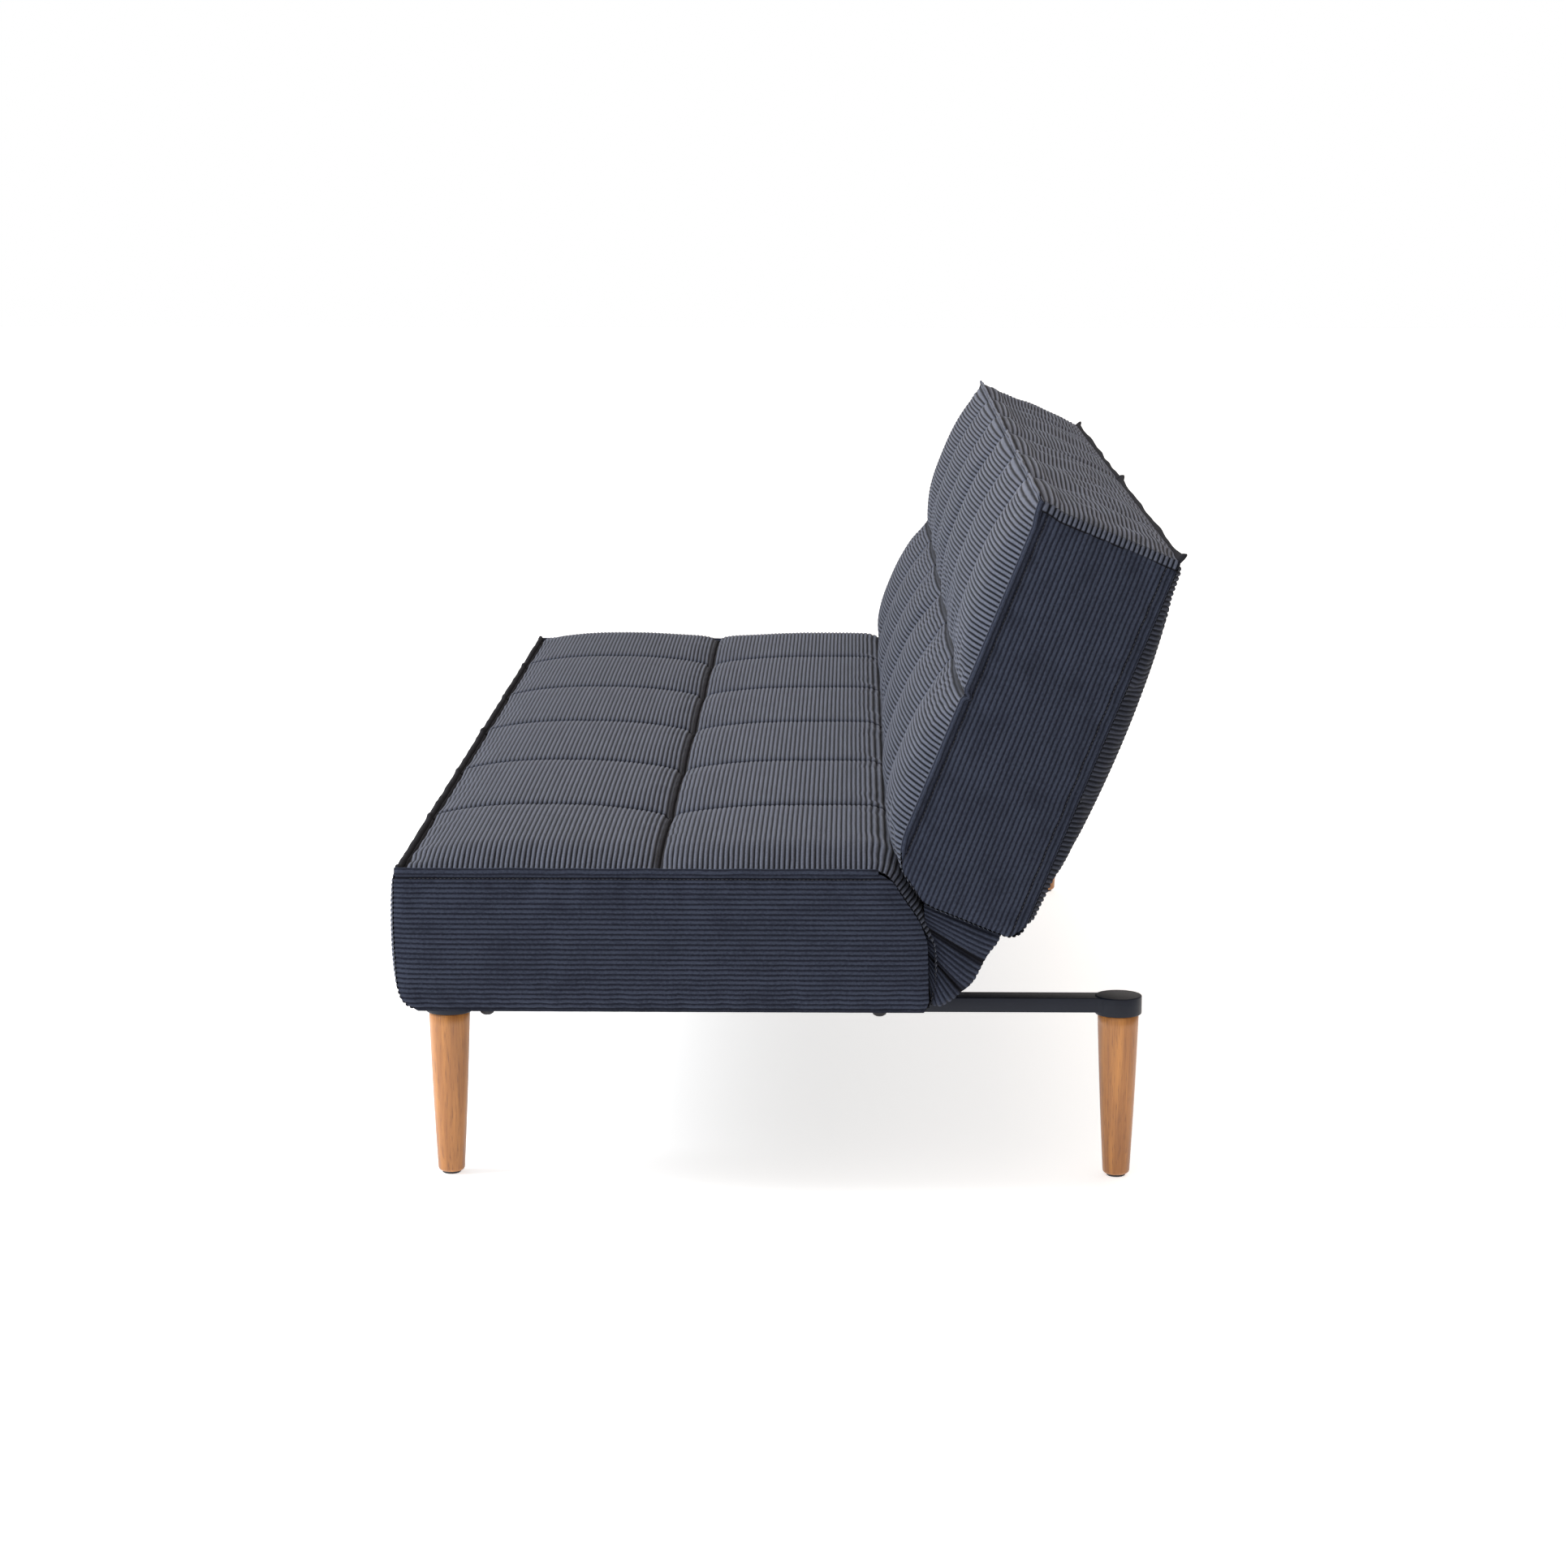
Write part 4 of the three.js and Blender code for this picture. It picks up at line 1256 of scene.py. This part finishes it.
def back_rear(side, sign):
    """The slack rear panel. It swells between its sewn edges."""
    xs = np.sort(np.linspace(SPLIT_X, END_X, 61) * sign)
    runs = np.linspace(HEAD_S - 0.002, REAR_FOOT_S, 41)
    a = (xs - xs[0]) / (xs[-1] - xs[0])
    b = (runs[0] - runs) / (runs[0] - runs[-1])
    swell = (np.sin(math.pi * b) ** 0.75)[:, None] * (1 - np.abs(2 * a - 1) ** 8)[None, :]
    grid = on_back(xs[None, :], REAR_N + REAR_BULGE * 0.8 * swell, runs[:, None])
    form = blown(grid, 0.009, pressure=3.0, spare=0.05)
    rows = wale_rows(0, HEAD_S - REAR_FOOT_S)
    columns = np.linspace(0, len(xs) - 1, 80)
    fine = finer(form, rows / rows[-1] * (len(runs) - 1), columns)
    # Painted shade along the sewn top and foot of the panel.
    tuck_and_shade = near_seam(rows, [0, rows[-1]], 0.004)[:, None]
    along = np.linspace(xs[0], xs[-1], 80)
    return corduroy_sheet(f"back_rear_{side}", fine, along, rows, tuck_and_shade, corduroy_rear_shaded)


def back_brim(side, sign, cover, rows):
    """The strip of the top that turns down over the outer end, as far as its seam."""
    over = rows >= brow_run - 1e-6
    outermost = -1 if sign > 0 else 0
    edge = cover[over, outermost]
    turn = np.linspace(0, 1, 7)[None, :, None]
    out = np.sin(turn * math.pi / 2) * BRIM_OUT * np.array((sign, 0, 0))
    strip = edge[:, None] + out - turn**1.6 * BRIM_DROP * BACK_UPWARD
    if sign < 0:
        strip = strip[:, ::-1]
    # Painted shade on the outermost edge of the strip, where it meets the end seam.
    tuck_and_shade = np.zeros(strip.shape[:2])
    tuck_and_shade[:, outermost] = 0.9
    along = np.linspace(0, BRIM_DROP, 7)
    return corduroy_sheet(f"back_brim_{side}", strip, along, rows[over], tuck_and_shade, corduroy)


for side, sign in SIDES:
    body = f"back_{side}"
    outward_x = np.array((sign, 0, 0))
    sheet, cover, rows, columns, seams = back_sheet(side, sign)
    outer, outer_lines = back_end(f"back_end_{side}", sign * END_X, sign, 0.010)
    inner, _ = back_end(f"back_inner_end_{side}", sign * SPLIT_X, -sign, 0.001)
    brim = back_brim(side, sign, cover, rows)
    cushion = joined(f"back_cushion_{side}", [sheet, outer, inner, brim])
    rides(cushion, body, f"back_cover_{side}", f"back_foam_{side}")
    rear = back_rear(side, sign)
    rides(rear, body)
    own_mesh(rear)

    nicks = near_seam(columns, seams[1:-1], 0.006)
    sway = uneven(columns, 0.0024, 11.0, 0.028)[:, None]
    brow = row_at(cover, rows, brow_run) + sway * BACK_RIGHTWARD
    tall = 0.0060 - 0.0035 * nicks + uneven(columns, 0.0042, 5.0, 0.02)
    up = BACK_UPWARD - 0.7 * BACK_RIGHTWARD
    welt(f"back_brow_fold_{side}", brow, up, tall, 0.0040, corduroy, body)

    xs = spaced(np.sort(np.array((SPLIT_X + 0.001, END_X)) * sign), 0.012)
    crest = on_back(xs, REAR_N - 0.002, HEAD_S - 0.003)
    tall = 0.0080 + uneven(xs, 0.0024, 7.0, 0.12) + 0.005 * near_seam(xs, [xs[0], xs[-1]], 0.018)
    up = BACK_UPWARD + 0.45 * BACK_RIGHTWARD
    welt(f"back_crest_fold_{side}", crest, up, tall, 0.0055, binding, body)

    on_front = (rows > chin_run - 0.004) & (rows < brow_run + 0.002)
    cheek = cover[on_front, -1 if sign > 0 else 0][::2] + 0.0015 * BACK_RIGHTWARD
    tall = 0.0060 + uneven(rows[on_front][::2], 0.0016, 9.0)
    up = outward_x + 0.10 * BACK_RIGHTWARD
    welt(f"back_end_fold_{side}", cheek, up, tall, 0.0070, corduroy_shaded, body)

    runs = spaced([REAR_FOOT_S, HEAD_S - 0.003], 0.015)
    nape = on_back(sign * (END_X - 0.001), REAR_N - 0.003, runs)
    up = outward_x + 0.8 * BACK_RIGHTWARD
    welt(f"back_rear_fold_{side}", nape, up, 0.0040, 0.0045, corduroy_shaded, body)

    stitch_paths = [
        seam_path(cover, rows, columns, seam, chin_run - 0.03, brow_run - SEAM_STOP)
        for seam in seams[1:-1]
    ]
    laid_along(f"back_seam_stitches_{side}", stitch_paths, SEAM_STITCH, thread, body)
    end_lines = [line + sign * TOP_LIFT for line in outer_lines]
    laid_along(f"back_end_stitches_{side}", end_lines, TOP_STITCH, thread, body)


# ---- Gussets -------------------------------------------------------------------------------
# A band of slack corduroy bridges each back half and the rear of the seat, so that nothing shows
# or pinches behind the hinges. At the end it is gathered into three folds that open like a fan.

GUSSET_BAND = np.array([
    (0.254, 0.326), (0.240, 0.303), (0.225, 0.273), (0.214, 0.262),
    (0.200, 0.256), (0.189, 0.262), (0.182, 0.276), (0.180, 0.294),
])
FAN_HEEL = np.array([(0.1655, 0.366), (0.169, 0.325), (0.171, 0.275)])
FAN_RIM = np.array([
    (0.258, 0.331), (0.252, 0.318), (0.240, 0.303), (0.225, 0.273),
    (0.214, 0.262), (0.200, 0.250), (0.187, 0.242), (0.174, 0.243),
])
FAN_ROUND = 0.115
FAN_REACH = 0.075
FAN_FOLDS = 3
FAN_FOLD = 0.012
GUSSET_WALES = 0.8


def gusset_cloth(side, sign):
    outer = sign * (END_X - 0.013)
    xs = np.sort(np.array([sign * 0.006, outer]))
    band_line = between(GUSSET_BAND, np.linspace(0, len(GUSSET_BAND) - 1, 60))
    across = wale_rows(0, run_lengths(band_line)[-1])
    columns = np.linspace(xs[0], xs[1], 90)
    side_line = read_line(band_line, across)
    band = stacked(columns[None, :], side_line[:, :1], side_line[:, 1:])
    slack = np.sin(math.pi * across / across[-1])[:, None]
    ripple = np.array([uneven(columns, 0.0035, v / 0.05, 0.11) for v in across])
    band += outward(band) * (ripple * slack)[..., None]
    name = f"gusset_band_{side}"
    band = corduroy_sheet(name, band, columns, across, 0, corduroy_shaded, GUSSET_WALES)

    round_it = wale_rows(0, FAN_ROUND)
    turn = round_it / FAN_ROUND
    heel = read_line(FAN_HEEL, turn * run_lengths(FAN_HEEL)[-1])[:, None]
    rim = read_line(FAN_RIM, turn * run_lengths(FAN_RIM)[-1])[:, None]
    reach = np.linspace(0, 1, 40)[None, :]
    flank = heel * (1 - reach[..., None]) + rim * reach[..., None]
    fold = np.sin(math.pi * (turn * FAN_FOLDS % 1)) ** 0.7
    standing = (0.15 + 0.85 * np.sin(math.pi * np.clip(reach * 0.62, 0, 1))) * (1 - reach**10)
    stands = outer + sign * FAN_FOLD * fold[:, None] * standing
    fan = stacked(stands, flank[..., 0], flank[..., 1])
    if sign > 0:
        fan = fan[:, ::-1]
    valleys = np.arange(FAN_FOLDS + 1) * FAN_ROUND / FAN_FOLDS
    # Painted shade in the valleys between the fan's folds.
    crease_shade = near_seam(round_it, valleys, 0.004)[:, None] * 0.6
    lengths = np.linspace(0, FAN_REACH, 40)
    name = f"gusset_fan_{side}"
    fan = corduroy_sheet(name, fan, lengths, round_it, crease_shade, corduroy_shaded, GUSSET_WALES)
    cloth = joined(f"gusset_cloth_{side}", [band, fan])
    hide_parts(f"gusset_{side}")
    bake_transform(cloth)


for side, sign in SIDES:
    gusset_cloth(side, sign)
